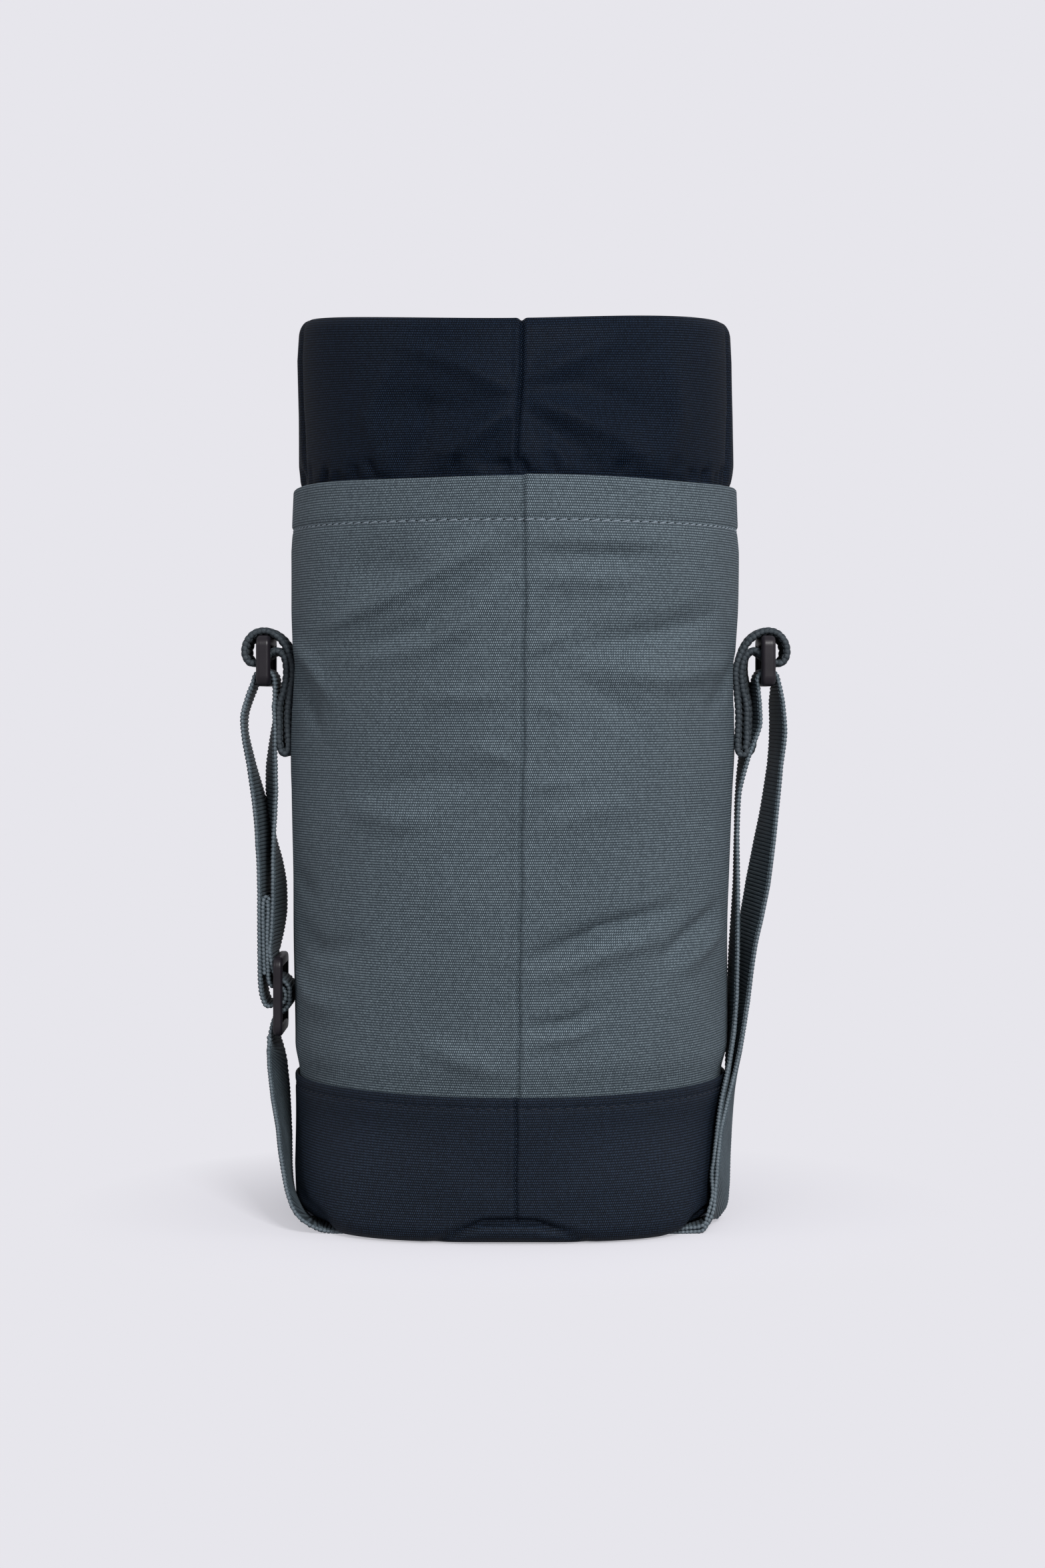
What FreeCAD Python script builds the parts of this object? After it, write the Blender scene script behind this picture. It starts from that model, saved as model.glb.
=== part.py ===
import FreeCAD, Part
import math
import os
import Sketcher

Vector = FreeCAD.Vector

# A soft upright rope bag: a woven shell on a darker base, a throat collar inside its hem, and a
# carrying strap that hangs from a plastic ring in a webbing tab on each side and runs under the base.
# Origin on the floor under the middle of the bag, +Z up, +X towards the right-hand tab, millimetres.

DRIVING = [
    ("shell_radius", 87.5),
    ("fabric_wall", 1.2),
    ("hem_top_height", 282.0),
    ("hem_depth", 16.0),
    ("hem_wall", 2.2),
    ("base_top_height", 54.0),
    ("base_step", 1.0),
    ("base_corner", 14.0),
    ("shell_lap", 9.0),
    ("shell_taper", 7.0),
    ("disc_inset", 6.5),
    ("disc_thickness", 4.2),
    ("disc_edge", 2.0),
    ("flange_width", 19.0),
    ("stiffener_thickness", 3.0),
    ("liner_thickness", 0.8),
    ("ply_gap", 0.2),
    ("collar_rise", 63.0),
    ("collar_wall", 1.8),
    ("collar_lap", 18.0),
    ("collar_gap", 0.6),
    ("collar_fold", 0.8),
    ("binding_wall", 0.6),
    ("binding_angle", 9.0),
    ("bottom_binding_width", 1.6),
    ("bottom_binding_height", 2.6),
    ("webbing_width", 25.0),
    ("webbing_thickness", 1.3),
    ("tab_thickness", 2.6),
    ("tab_drop", 49.0),
    ("tab_end_rise", 22.0),
    ("tab_meet_drop", 16.0),
    ("tab_gap", 0.5),
    ("tab_blend", 7.8),
    ("ring_drop", 57.0),
    ("ring_span", 20.0),
    ("ring_bar", 4.5),
    ("ring_side_bar", 4.0),
    ("ring_depth", 5.6),
    ("ring_edge", 1.6),
    ("ring_clearance", 0.7),
    ("web_clearance", 0.6),
    ("slider_middle_height", 84.0),
    ("slider_span", 31.0),
    ("slider_bar", 4.4),
    ("slider_middle_bar", 4.0),
    ("slider_side_bar", 4.0),
    ("slider_depth", 3.6),
    ("slider_edge", 1.2),
    ("under_run_setback", 50.0),
    ("floor_turn_inset", 14.0),
    ("lean_start_drop", 15.0),
    ("tab_clear_drop", 2.0),
    ("bulge_drop", 14.0),
    ("bulge_end_drop", 40.0),
    ("inner_swing_drop", 10.0),
    ("outer_swing_drop", 20.0),
    ("outer_leg_bulge", 3.2),
    ("toe_length", 6.5),
    ("heel_lift", 5.85),
    ("lapped_lift", 3.38),
    ("sewn_end_reach", 40.0),
    ("strap_end_overlap", 56.0),
    ("loop_height", 42.0),
    ("loop_span", 44.0),
    ("loop_width", 20.0),
    ("loop_wall", 1.6),
    ("loop_setback", 30.0),
]

doc = FreeCAD.newDocument("RopeBag")
sheet = doc.addObject("Spreadsheet::Sheet", "Sizes")
sheet.Label = "sizes"
for row, (alias, value) in enumerate(DRIVING, start=1):
    sheet.set(f"A{row}", alias)
    sheet.set(f"B{row}", str(value))
    sheet.setAlias(f"B{row}", alias)

# Sizes that follow from the driving ones.
DERIVED = [
    ("base_radius", "=shell_radius - base_step"),
    ("disc_radius", "=base_radius - disc_inset"),
    ("floor_turn_reach", "=disc_radius - floor_turn_inset"),
    ("collar_top_height", "=hem_top_height + collar_rise"),
    ("ring_top_height", "=hem_top_height - ring_drop"),
    ("tab_bottom_height", "=ring_top_height - tab_drop"),
    ("tab_end_height", "=tab_bottom_height + tab_end_rise"),
    ("tab_meet_height", "=ring_top_height - tab_meet_drop"),
    ("shell_inner", "=shell_radius - fabric_wall"),
    ("hem_inner", "=shell_radius - hem_wall"),
    ("hem_bottom_height", "=hem_top_height - hem_depth"),
    ("base_inner", "=base_radius - fabric_wall"),
    ("lap_radius", "=base_inner - ply_gap"),
    ("shell_bottom_height", "=base_top_height - shell_lap"),
    ("taper_top_height", "=base_top_height + shell_taper"),
    ("flange_height", "=disc_thickness + ply_gap"),
    ("flange_top_height", "=flange_height + fabric_wall"),
    ("flange_inner", "=base_radius - flange_width"),
    ("stiffener_radius", "=base_radius - base_corner - bottom_binding_width - 3 * ply_gap"),
    ("stiffener_height", "=flange_top_height + ply_gap"),
    ("liner_height", "=stiffener_height + stiffener_thickness + ply_gap"),
    ("collar_radius", "=hem_inner - collar_gap"),
    ("collar_inner", "=collar_radius - collar_wall"),
    ("collar_bottom_height", "=hem_top_height - collar_lap"),
    ("binding_outer", "=shell_inner - ply_gap"),
    ("binding_inner", "=binding_outer - binding_wall"),
    ("binding_bottom_height", "=taper_top_height + ply_gap"),
    ("binding_top_height", "=collar_bottom_height - ply_gap"),
    ("ring_inner_width", "=webbing_width + 2 * ring_clearance"),
    ("ring_width", "=ring_inner_width + 2 * ring_side_bar"),
    ("top_bar_height", "=ring_top_height - ring_bar / 2"),
    ("low_bar_height", "=top_bar_height - ring_span + ring_bar"),
    ("slider_width", "=webbing_width + 2 * ring_clearance + 2 * slider_side_bar"),
]
first = len(DRIVING) + 1
for row, (alias, formula) in enumerate(DERIVED, start=first):
    sheet.set(f"A{row}", alias)
    sheet.set(f"B{row}", formula)
    sheet.setAlias(f"B{row}", alias)
doc.recompute()

pieces = []
TOLERANCE = 1e-4
LENGTHWISE = 0.9
RING_STEPS = 8
LOOP_STEPS = 12
TAB_LOOP_START = 160
TAB_LOOP_STOP = 80


def size(alias):
    """The value of one cell of the sheet, in millimetres or degrees."""
    return float(getattr(sheet, alias))


def cell(alias):
    """An expression that names one cell of the sheet."""
    return "<<sizes>>." + alias


def datum(body, role):
    """One of the body's own origin planes or axes."""
    return next(item for item in body.Origin.OriginFeatures if item.Role == role)


def new_body(label):
    """A PartDesign body that is written out as one piece."""
    body = doc.addObject("PartDesign::Body", label)
    body.Label = label
    pieces.append(body)
    return body


def new_shape(label, shape, placement=None):
    """A piece whose shape is built directly from the sheet's sizes."""
    piece = doc.addObject("Part::Feature", label)
    piece.Label = label
    piece.Shape = shape
    if placement:
        piece.Placement = placement
    pieces.append(piece)
    return piece


def closed_sketch(body, role, name, corners):
    """A closed outline whose corners are pairs of expressions; "0" puts a corner on an axis."""
    sketch = body.newObject("Sketcher::SketchObject", name)
    sketch.AttachmentSupport = (datum(body, role), [""])
    sketch.MapMode = "FlatFace"
    values = [tuple(sheet_value(part) for part in corner) for corner in corners]
    count = len(corners)
    for index in range(count):
        start = Vector(*values[index], 0)
        end = Vector(*values[(index + 1) % count], 0)
        sketch.addGeometry(Part.LineSegment(start, end), False)
    for index in range(count):
        sketch.addConstraint(Sketcher.Constraint("Coincident", index, 2, (index + 1) % count, 1))
    for index, corner in enumerate(corners):
        for kind, on_axis, part, value in zip(("DistanceX", "DistanceY"), (-2, -1), corner, values[index]):
            if part == "0":
                sketch.addConstraint(Sketcher.Constraint("PointOnObject", index, 1, on_axis))
                continue
            number = sketch.addConstraint(Sketcher.Constraint(kind, -1, 1, index, 1, value))
            sketch.setExpression(f"Constraints[{number}]", sheet_expression(part))
    return sketch


def sheet_words(part):
    """The words of an expression over the sheet, such as "-ring_width / 2"."""
    return part.replace("(", " ( ").replace(")", " ) ").replace("-", " - ").split()


def sheet_expression(part):
    """The expression with each size written as its cell."""
    return " ".join(cell(word) if word[0].isalpha() else word for word in sheet_words(part))


def sheet_value(part):
    """The present value of an expression made of sizes, plain numbers and + - * /."""
    total = 0.0
    sign = 1.0
    term = None
    operator = "*"
    for word in sheet_words(part):
        if word in "+-":
            total += sign * (term or 0.0)
            sign = 1.0 if word == "+" else -1.0
            term = None
            operator = "*"
        elif word in "*/":
            operator = word
        else:
            value = size(word) if word[0].isalpha() else float(word)
            if term is None:
                term = value
            else:
                term = term * value if operator == "*" else term / value
    return total + sign * (term or 0.0)


def revolved(label, corners, angle=None):
    """A piece of revolution about +Z from corners given as (radius, height)."""
    body = new_body(label)
    sketch = closed_sketch(body, "XZ_Plane", label + "_profile", corners)
    turn = body.newObject("PartDesign::Revolution", label + "_turn")
    turn.Profile = sketch
    turn.ReferenceAxis = (datum(body, "Z_Axis"), [""])
    turn.Angle = 360.0
    if angle:
        turn.setExpression("Angle", cell(angle))
    doc.recompute()
    return body


def circles(shape, radius, height):
    """Names of the full circular edges of one radius at one height."""
    found = []
    for number, edge in enumerate(shape.Edges, start=1):
        if not isinstance(edge.Curve, Part.Circle):
            continue
        same_radius = abs(edge.Curve.Radius - radius) < TOLERANCE
        if same_radius and abs(edge.Curve.Center.z - height) < TOLERANCE:
            found.append(f"Edge{number}")
    return found


def rounded(body, name, edges, expression):
    """Round the named edges of a body's last feature."""
    before = body.Tip
    fillet = body.newObject("PartDesign::Fillet", name)
    fillet.Base = (before, edges)
    fillet.setExpression("Radius", sheet_expression(expression))
    doc.recompute()
    return fillet


# The shell: one woven panel round the bag, its top turned in as a hem, its bottom tucked into the base.
revolved("shell_panel", [
    ("shell_inner", "taper_top_height"),
    ("shell_inner", "hem_bottom_height"),
    ("hem_inner", "hem_bottom_height"),
    ("hem_inner", "hem_top_height"),
    ("shell_radius", "hem_top_height"),
    ("shell_radius", "taper_top_height"),
    ("lap_radius", "base_top_height"),
    ("lap_radius", "shell_bottom_height"),
    ("lap_radius - fabric_wall", "shell_bottom_height"),
    ("lap_radius - fabric_wall", "base_top_height"),
])

# The collar: a doubled tube that stands out of the hem and tucks straight down inside the shell.
collar = revolved("collar_panel", [
    ("collar_inner", "collar_bottom_height"),
    ("collar_inner", "collar_top_height"),
    ("collar_radius", "collar_top_height"),
    ("collar_radius", "collar_bottom_height"),
])
fold_edges = circles(collar.Shape, size("collar_radius"), size("collar_top_height"))
fold_edges += circles(collar.Shape, size("collar_inner"), size("collar_top_height"))
rounded(collar, "collar_top_fold", fold_edges, "collar_fold")

# The base wall: a band round the foot of the shell with a flange turned in under it.
base = revolved("base_wall", [
    ("flange_inner", "flange_height"),
    ("flange_inner", "flange_top_height"),
    ("base_inner", "flange_top_height"),
    ("base_inner", "base_top_height"),
    ("base_radius", "base_top_height"),
    ("base_radius", "flange_height"),
])
rounded(base, "base_outer_corner", circles(base.Shape, size("base_radius"), size("flange_height")),
        "base_corner")
rounded(base, "base_inner_corner", circles(base.Shape, size("base_inner"), size("flange_top_height")),
        "base_corner - fabric_wall")

# Flat discs of the bottom, from the floor up: outer disc, stiffener, lining, and the taped seam.
disc = revolved("base_disc", [
    ("0", "0"),
    ("disc_radius", "0"),
    ("disc_radius", "disc_thickness"),
    ("0", "disc_thickness"),
])
rounded(disc, "disc_corner", circles(disc.Shape, size("disc_radius"), 0.0), "disc_edge")
channel_half = "webbing_width / 2 + web_clearance"
channel_sketch = closed_sketch(disc, "YZ_Plane", "strap_channel_profile", [
    ("0 - under_run_setback - webbing_width / 2 - web_clearance", "0"),
    ("0 - under_run_setback + " + channel_half, "0"),
    ("0 - under_run_setback + " + channel_half, "2 * webbing_thickness + 3 * ply_gap"),
    ("0 - under_run_setback - webbing_width / 2 - web_clearance", "2 * webbing_thickness + 3 * ply_gap"),
])
channel = disc.newObject("PartDesign::Pocket", "strap_channel")
channel.Profile = channel_sketch
channel.Type = "ThroughAll"
channel.SideType = "Symmetric"
doc.recompute()

revolved("base_stiffener", [
    ("0", "stiffener_height"),
    ("stiffener_radius", "stiffener_height"),
    ("stiffener_radius", "stiffener_height + stiffener_thickness"),
    ("0", "stiffener_height + stiffener_thickness"),
])
revolved("base_liner", [
    ("0", "liner_height"),
    ("stiffener_radius", "liner_height"),
    ("stiffener_radius", "liner_height + liner_thickness"),
    ("0", "liner_height + liner_thickness"),
])
revolved("bottom_seam_binding", [
    ("stiffener_radius + ply_gap", "stiffener_height"),
    ("stiffener_radius + ply_gap + bottom_binding_width", "stiffener_height"),
    ("stiffener_radius + ply_gap + bottom_binding_width", "stiffener_height + bottom_binding_height"),
    ("stiffener_radius + ply_gap", "stiffener_height + bottom_binding_height"),
])

# The tape that covers the shell's upright seam on the inside, centred on -Y.
binding = revolved("shell_seam_binding", [
    ("binding_inner", "binding_bottom_height"),
    ("binding_outer", "binding_bottom_height"),
    ("binding_outer", "binding_top_height"),
    ("binding_inner", "binding_top_height"),
], "binding_angle")
middle = binding.Shape.CenterOfMass
to_seam = -90.0 - math.degrees(math.atan2(middle.y, middle.x))
binding.Placement = FreeCAD.Placement(Vector(0, 0, 0), FreeCAD.Rotation(Vector(0, 0, 1), to_seam))


def offset_band(points, thickness, width):
    """A flat band that follows points in the XZ plane, rounded at its turns, width along Y."""
    edges = [Part.LineSegment(a, b).toShape() for a, b in zip(points, points[1:])]
    face = Part.Wire(edges).makeOffset2D(thickness / 2, 0, True, False, True)
    shift = FreeCAD.Matrix()
    shift.move(Vector(0, -width / 2, 0))
    return face.transformGeometry(shift).extrude(Vector(0, width, 0))


def arc_points(centre, radius, start, stop, steps):
    """Points on an arc in the XZ plane, in degrees from +X towards +Z."""
    turn = [math.radians(start + (stop - start) * i / steps) for i in range(steps + 1)]
    return [centre + Vector(radius * math.cos(t), 0, radius * math.sin(t)) for t in turn]


def section(centre, along, across, width, thickness):
    """The rectangular outline of a band, square to along, with its width near across."""
    side = (across - along * across.dot(along)).normalize() * (width / 2)
    face = along.cross(side).normalize() * (thickness / 2)
    corners = [centre + side + face, centre - side + face, centre - side - face, centre + side - face]
    return Part.makePolygon(corners + corners[:1])


def band(stations, start_along=None, end_along=None):
    """A solid strip of webbing through stations of (centre, width direction)."""
    centres = [station[0] for station in stations]
    last = len(centres) - 1
    outlines = []
    for index, (centre, across) in enumerate(stations):
        along = centres[min(index + 1, last)] - centres[max(index - 1, 0)]
        if index == 0 and start_along:
            along = start_along
        if index == last and end_along:
            along = end_along
        along = Vector(along).normalize()
        outlines.append(section(centre, along, across, size("webbing_width"), size("webbing_thickness")))
    return Part.makeLoft(outlines, True, True)


# Where the rings hang: their bars run along Y, one ring each side of the bag.
tab_inner_ply = size("shell_radius") + size("tab_gap") + size("tab_thickness") / 2
tab_outer_ply = tab_inner_ply + size("tab_thickness") + size("ply_gap") / 2
web_radius = size("ring_depth") / 2 + size("web_clearance") + size("webbing_thickness") / 2
tab_radius = size("ring_depth") / 2 + size("web_clearance") + size("tab_thickness") / 2
leg_clear = size("tab_thickness") / 2 + size("tab_gap") + size("webbing_thickness") / 2
ring_reach = tab_outer_ply + leg_clear + web_radius
top_bar = size("top_bar_height")
low_bar = size("low_bar_height")
across_y = Vector(0, 1, 0)
down = Vector(0, 0, -1)


def ring(label, side):
    """A rectangular ring of moulded plastic, seen end on from the front."""
    body = new_body(label)
    outer = closed_sketch(body, "YZ_Plane", label + "_outline", [
        ("0 - ring_width / 2", "top_bar_height + ring_bar / 2 - ring_span"),
        ("ring_width / 2", "top_bar_height + ring_bar / 2 - ring_span"),
        ("ring_width / 2", "ring_top_height"),
        ("0 - ring_width / 2", "ring_top_height"),
    ])
    pad = body.newObject("PartDesign::Pad", label + "_block")
    pad.Profile = outer
    pad.SideType = "Symmetric"
    pad.setExpression("Length", cell("ring_depth"))
    doc.recompute()
    inner = closed_sketch(body, "YZ_Plane", label + "_window", [
        ("0 - ring_inner_width / 2", "low_bar_height + ring_bar / 2"),
        ("ring_inner_width / 2", "low_bar_height + ring_bar / 2"),
        ("ring_inner_width / 2", "top_bar_height - ring_bar / 2"),
        ("0 - ring_inner_width / 2", "top_bar_height - ring_bar / 2"),
    ])
    window = body.newObject("PartDesign::Pocket", label + "_opening")
    window.Profile = inner
    window.Type = "ThroughAll"
    window.SideType = "Symmetric"
    doc.recompute()
    corners = [
        f"Edge{number}" for number, edge in enumerate(window.Shape.Edges, start=1)
        if abs(edge.tangentAt(edge.FirstParameter).x) > LENGTHWISE and abs(
            abs(edge.CenterOfMass.y) - size("ring_width") / 2) < TOLERANCE
    ]
    rounded(body, label + "_corners", corners, "ring_side_bar")
    rims = [
        f"Edge{number}" for number, edge in enumerate(body.Shape.Edges, start=1)
        if abs(abs(edge.CenterOfMass.x) - size("ring_depth") / 2) < TOLERANCE
    ]
    rounded(body, label + "_rims", rims, "ring_edge")
    body.Placement = FreeCAD.Placement(Vector(side * ring_reach, 0, 0), FreeCAD.Rotation())
    return body


def tab(label, side):
    """Thick webbing sewn low on the bag's side that loops over the ring's top bar."""
    centre = Vector(side * ring_reach, 0, top_bar)
    out = 0 if side > 0 else 180
    turn = -1 if side < 0 else 1
    end = Vector(side * tab_inner_ply, 0, size("tab_end_height") + size("tab_blend"))
    inner_neck = Vector(side * (tab_inner_ply + size("ply_gap") / 2), 0, size("tab_meet_height"))
    outer_neck = Vector(side * tab_outer_ply, 0, size("tab_meet_height"))
    loop = arc_points(centre, tab_radius, out + turn * TAB_LOOP_START, out - turn * TAB_LOOP_STOP, LOOP_STEPS)
    path = [end, inner_neck] + loop + [outer_neck]
    path += [Vector(side * tab_outer_ply, 0, size("tab_bottom_height") + size("tab_thickness"))]
    path += [Vector(side * (tab_inner_ply - size("ply_gap") / 2), 0,
                    size("tab_bottom_height") + size("tab_thickness"))]
    path += [Vector(side * (tab_inner_ply - size("ply_gap") / 2), 0, size("tab_end_height"))]
    return new_shape(label, offset_band(path, size("tab_thickness"), size("webbing_width")))


ring("left_ring", -1)
ring("right_ring", 1)
tab("left_tab", -1)
tab("right_tab", 1)

# The slider: a flat frame with a middle bar, standing upright against the bag's left side.
slider_reach = (size("shell_radius") + size("tab_gap") + 2 * size("webbing_thickness")
                + 2 * size("ply_gap") + size("slider_depth") / 2)
slider_middle = size("slider_middle_height")
slider = new_body("slider")
slider_outline = closed_sketch(slider, "YZ_Plane", "slider_outline", [
    ("0 - slider_width / 2", "0 - slider_span / 2"),
    ("slider_width / 2", "0 - slider_span / 2"),
    ("slider_width / 2", "slider_span / 2"),
    ("0 - slider_width / 2", "slider_span / 2"),
])
slider_pad = slider.newObject("PartDesign::Pad", "slider_block")
slider_pad.Profile = slider_outline
slider_pad.SideType = "Symmetric"
slider_pad.setExpression("Length", cell("slider_depth"))
doc.recompute()
for name, low, high in [
    ("lower_slot", "0 - slider_span / 2 + slider_bar", "0 - slider_middle_bar / 2"),
    ("upper_slot", "slider_middle_bar / 2", "slider_span / 2 - slider_bar"),
]:
    slot_outline = closed_sketch(slider, "YZ_Plane", name + "_outline", [
        ("0 - slider_width / 2 + slider_side_bar", low),
        ("slider_width / 2 - slider_side_bar", low),
        ("slider_width / 2 - slider_side_bar", high),
        ("0 - slider_width / 2 + slider_side_bar", high),
    ])
    slot = slider.newObject("PartDesign::Pocket", name)
    slot.Profile = slot_outline
    slot.Type = "ThroughAll"
    slot.SideType = "Symmetric"
    doc.recompute()
slider_corners = [
    f"Edge{number}" for number, edge in enumerate(slider.Shape.Edges, start=1)
    if abs(edge.tangentAt(edge.FirstParameter).x) > LENGTHWISE
    and abs(abs(edge.CenterOfMass.y) - size("slider_width") / 2) < TOLERANCE
]
rounded(slider, "slider_corners", slider_corners, "slider_side_bar")
slider_rims = [
    f"Edge{number}" for number, edge in enumerate(slider.Shape.Edges, start=1)
    if abs(abs(edge.CenterOfMass.x) - size("slider_depth") / 2) < TOLERANCE
]
rounded(slider, "slider_rims", slider_rims, "slider_edge")
slider.Placement = FreeCAD.Placement(Vector(-slider_reach, 0, slider_middle), FreeCAD.Rotation())

# The strap's own stretches of webbing. Each is a band between the places where the strap bends.
web = size("webbing_thickness")
gap = size("ply_gap")
setback = size("under_run_setback")
floor_low = web / 2
floor_high = floor_low + web + gap
turn_reach = size("floor_turn_reach")
loop_side = ring_reach - web_radius
outer_side = ring_reach + web_radius
bulge = size("outer_leg_bulge")
outer_face = slider_reach + size("slider_depth") / 2 + gap + web / 2
slot_middle = (size("slider_span") / 2 - size("slider_bar") + size("slider_middle_bar") / 2) / 2
slider_top = slider_middle + size("slider_span") / 2 + 2 * web
slider_foot = slider_middle - size("slider_span") / 2 - 2 * web


def across(slant):
    """The webbing's width direction, its back edge dropped by slant degrees."""
    tip = math.radians(slant)
    return Vector(0, math.cos(tip), -math.sin(tip))


def level(x, y, z, slant=0.0):
    """One station of a strap band."""
    return (Vector(x, y, z), across(slant))


def ring_loop(side, start, stop):
    """Stations of the webbing over the ring's lower bar, from one side of it to the other."""
    centre = Vector(side * ring_reach, 0, low_bar)
    return [(point, across_y) for point in arc_points(centre, web_radius, start, stop, RING_STEPS)]


ply_step = web + gap
leg_foot = outer_face + 3 * ply_step
apart = 2 * ply_step

# How the legs lean forward on their way down: shares of the setback, and slopes in degrees.
lean_high, lean_middle, lean_low = 0.2, 0.55, 0.82
slope_high, slope_low, slope_heel = 30.0, 34.0, 4.0
lean_start = slider_foot - size("lean_start_drop")
corner_reach = size("base_radius") - web
heel_reach = size("disc_radius") + web
toe_reach = turn_reach + size("toe_length")
heel_rise = floor_high + size("heel_lift")
toe_rise = floor_low + web / 4
leg_foot_height = slider_top - web
fold_top = slider_top + size("sewn_end_reach") / 2


# Left: the outer leg falls from the ring and carries the slider; the inner leg threads the slider.
left_outer = ring_loop(-1, 0, 180) + [
    level(-outer_side - bulge, 0, low_bar - size("bulge_drop")),
    level(-outer_side - bulge / 2, 0, low_bar - size("bulge_end_drop")),
    level(-leg_foot - web, 0, (low_bar + slider_top) / 2),
    level(-leg_foot, 0, fold_top),
    level(-leg_foot, 0, leg_foot_height),
]
new_shape("strap_left_outer_leg", band(left_outer, Vector(0, 0, 1), down))
left_inner = [
    level(-loop_side, 0, low_bar - gap),
    level(-loop_side, 0, size("tab_bottom_height")),
    level(-(loop_side + outer_face) / 2, 0, (low_bar + slider_top) / 2 - size("inner_swing_drop")),
    level(-outer_face, 0, slider_top),
]
new_shape("strap_left_inner_leg", band(left_inner, down, down))
left_lower = [
    level(-outer_face, 0, slider_foot),
    level(-outer_face + web, -setback * lean_high, lean_start, slope_high),
    level(-slider_reach + web, -setback * lean_middle, size("base_top_height") / 2, slope_low),
    level(-corner_reach, -setback * lean_low, size("base_corner"), slope_low),
    level(-heel_reach, -setback, heel_rise, slope_heel),
    level(-toe_reach, -setback, toe_rise),
    level(-turn_reach, -setback, floor_low),
]
new_shape("strap_left_lower_leg", band(left_lower, down, Vector(1, 0, 0)))

# Under the base: the running ply on the floor and the sewn-on end ply above it.
under_run = [level(-turn_reach, -setback, floor_low), level(turn_reach, -setback, floor_low)]
new_shape("strap_under_run", band(under_run))
end_run = [
    level(turn_reach - size("strap_end_overlap"), -setback, floor_high),
    level(turn_reach, -setback, floor_high),
]
new_shape("strap_end_ply", band(end_run))

# Right: one loop over the ring with two legs that hang side by side and turn under the base.
loop_tail = low_bar - size("ring_bar") - size("ring_depth")
right_loop = [level(outer_side, 0, loop_tail)] + ring_loop(1, 0, 180) + [level(loop_side, 0, loop_tail)]
new_shape("strap_right_loop", band(right_loop, Vector(0, 0, 1), down))
inner_hang = size("shell_radius") + size("tab_gap") + web / 2
right_inner = [
    level(loop_side, 0, loop_tail),
    level(loop_side, 0, size("tab_bottom_height") - size("tab_clear_drop")),
    level(inner_hang + web, 0, size("tab_bottom_height") - size("bulge_end_drop")),
    level(inner_hang, 0, slider_middle),
    level(inner_hang, -setback * lean_high, lean_start, slope_high),
    level(inner_hang, -setback * lean_middle, size("base_top_height") / 2, slope_low),
    level(corner_reach, -setback * lean_low, size("base_corner"), slope_low),
    level(heel_reach, -setback, heel_rise, slope_heel),
    level(toe_reach, -setback, toe_rise + web + gap),
    level(turn_reach, -setback, floor_high),
]
new_shape("strap_right_inner_leg", band(right_inner, down, Vector(-1, 0, 0)))
right_outer = [
    level(outer_side, 0, loop_tail),
    level(outer_side + bulge, 0, loop_tail - size("bulge_drop") / 2),
    level(outer_side + bulge / 2, 0, loop_tail - size("bulge_end_drop")),
    level(outer_side - bulge, 0, (low_bar + slider_middle) / 2 - size("outer_swing_drop")),
    level(inner_hang + 3 * apart, 0, slider_middle),
    level(inner_hang + 2 * apart, -setback * lean_high, lean_start, slope_high),
    level(inner_hang + apart, -setback * lean_middle, size("base_top_height") / 2, slope_low),
    level(corner_reach + apart, -setback * lean_low, size("base_corner") - web, slope_low),
    level(heel_reach + apart, -setback, heel_rise - web, slope_heel),
    level(toe_reach + apart, -setback, toe_rise),
    level(turn_reach, -setback, floor_low),
]
new_shape("strap_right_outer_leg", band(right_outer, down, Vector(-1, 0, 0)))

# The stitched end of the strap wraps the slider's middle bar, and the running ply laps over it.
frame_half = size("slider_depth") / 2
middle_half = size("slider_middle_bar") / 2
sewn_face = slider_reach - frame_half - gap - web / 2
lapped_face = sewn_face - web - gap
sewn_rise = middle_half + gap + web / 2
corner_in = frame_half - size("slider_edge")
corner_up = middle_half - size("slider_edge")
corner_turn = (size("slider_edge") + gap + web / 2) * math.sqrt(0.5)
lapped_rise = sewn_rise + size("lapped_lift")
end_ply = outer_face + web + gap
fold_ply = end_ply + web + gap / 2
fold_foot = slider_middle + slot_middle


def flat(reach, rise):
    """One station of a strap band on the left side, at a height from the slider's middle."""
    return (Vector(-reach, 0, slider_middle + rise), across_y)


slider_bight = [
    level(-outer_face, 0, slider_top),
    flat(outer_face, size("slider_span") / 2 - size("slider_bar")),
    flat(slider_reach + web / 2, lapped_rise + web / 2),
    flat(slider_reach - frame_half - web / 2, lapped_rise),
    flat(lapped_face, middle_half),
    flat(lapped_face, -middle_half),
    flat(slider_reach - frame_half - web / 2, -lapped_rise),
    flat(slider_reach + web / 2, -lapped_rise - web / 2),
    flat(outer_face, size("slider_bar") - size("slider_span") / 2),
    level(-outer_face, 0, slider_foot),
]
new_shape("strap_slider_bight", band(slider_bight, down, down))
sewn_end = [
    level(-leg_foot, 0, leg_foot_height),
    level(-leg_foot, 0, slider_middle + middle_half),
    flat(leg_foot - web, -middle_half),
    flat(end_ply, -sewn_rise - web / 2),
    flat(slider_reach + frame_half, -sewn_rise),
    flat(slider_reach - corner_in, -sewn_rise),
    flat(slider_reach - corner_in - corner_turn, -corner_up - corner_turn),
    flat(sewn_face, -corner_up),
    flat(sewn_face, corner_up),
    flat(slider_reach - corner_in - corner_turn, corner_up + corner_turn),
    flat(slider_reach - corner_in, sewn_rise),
    flat(slider_reach + frame_half, sewn_rise),
    flat(end_ply - web / 2, sewn_rise + web),
    flat(end_ply, fold_foot - slider_middle),
    level(-end_ply, 0, fold_top),
    level(-(end_ply + fold_ply) / 2, 0, fold_top + web / 2),
    level(-fold_ply, 0, fold_top),
    level(-fold_ply, 0, fold_foot),
]
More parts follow.
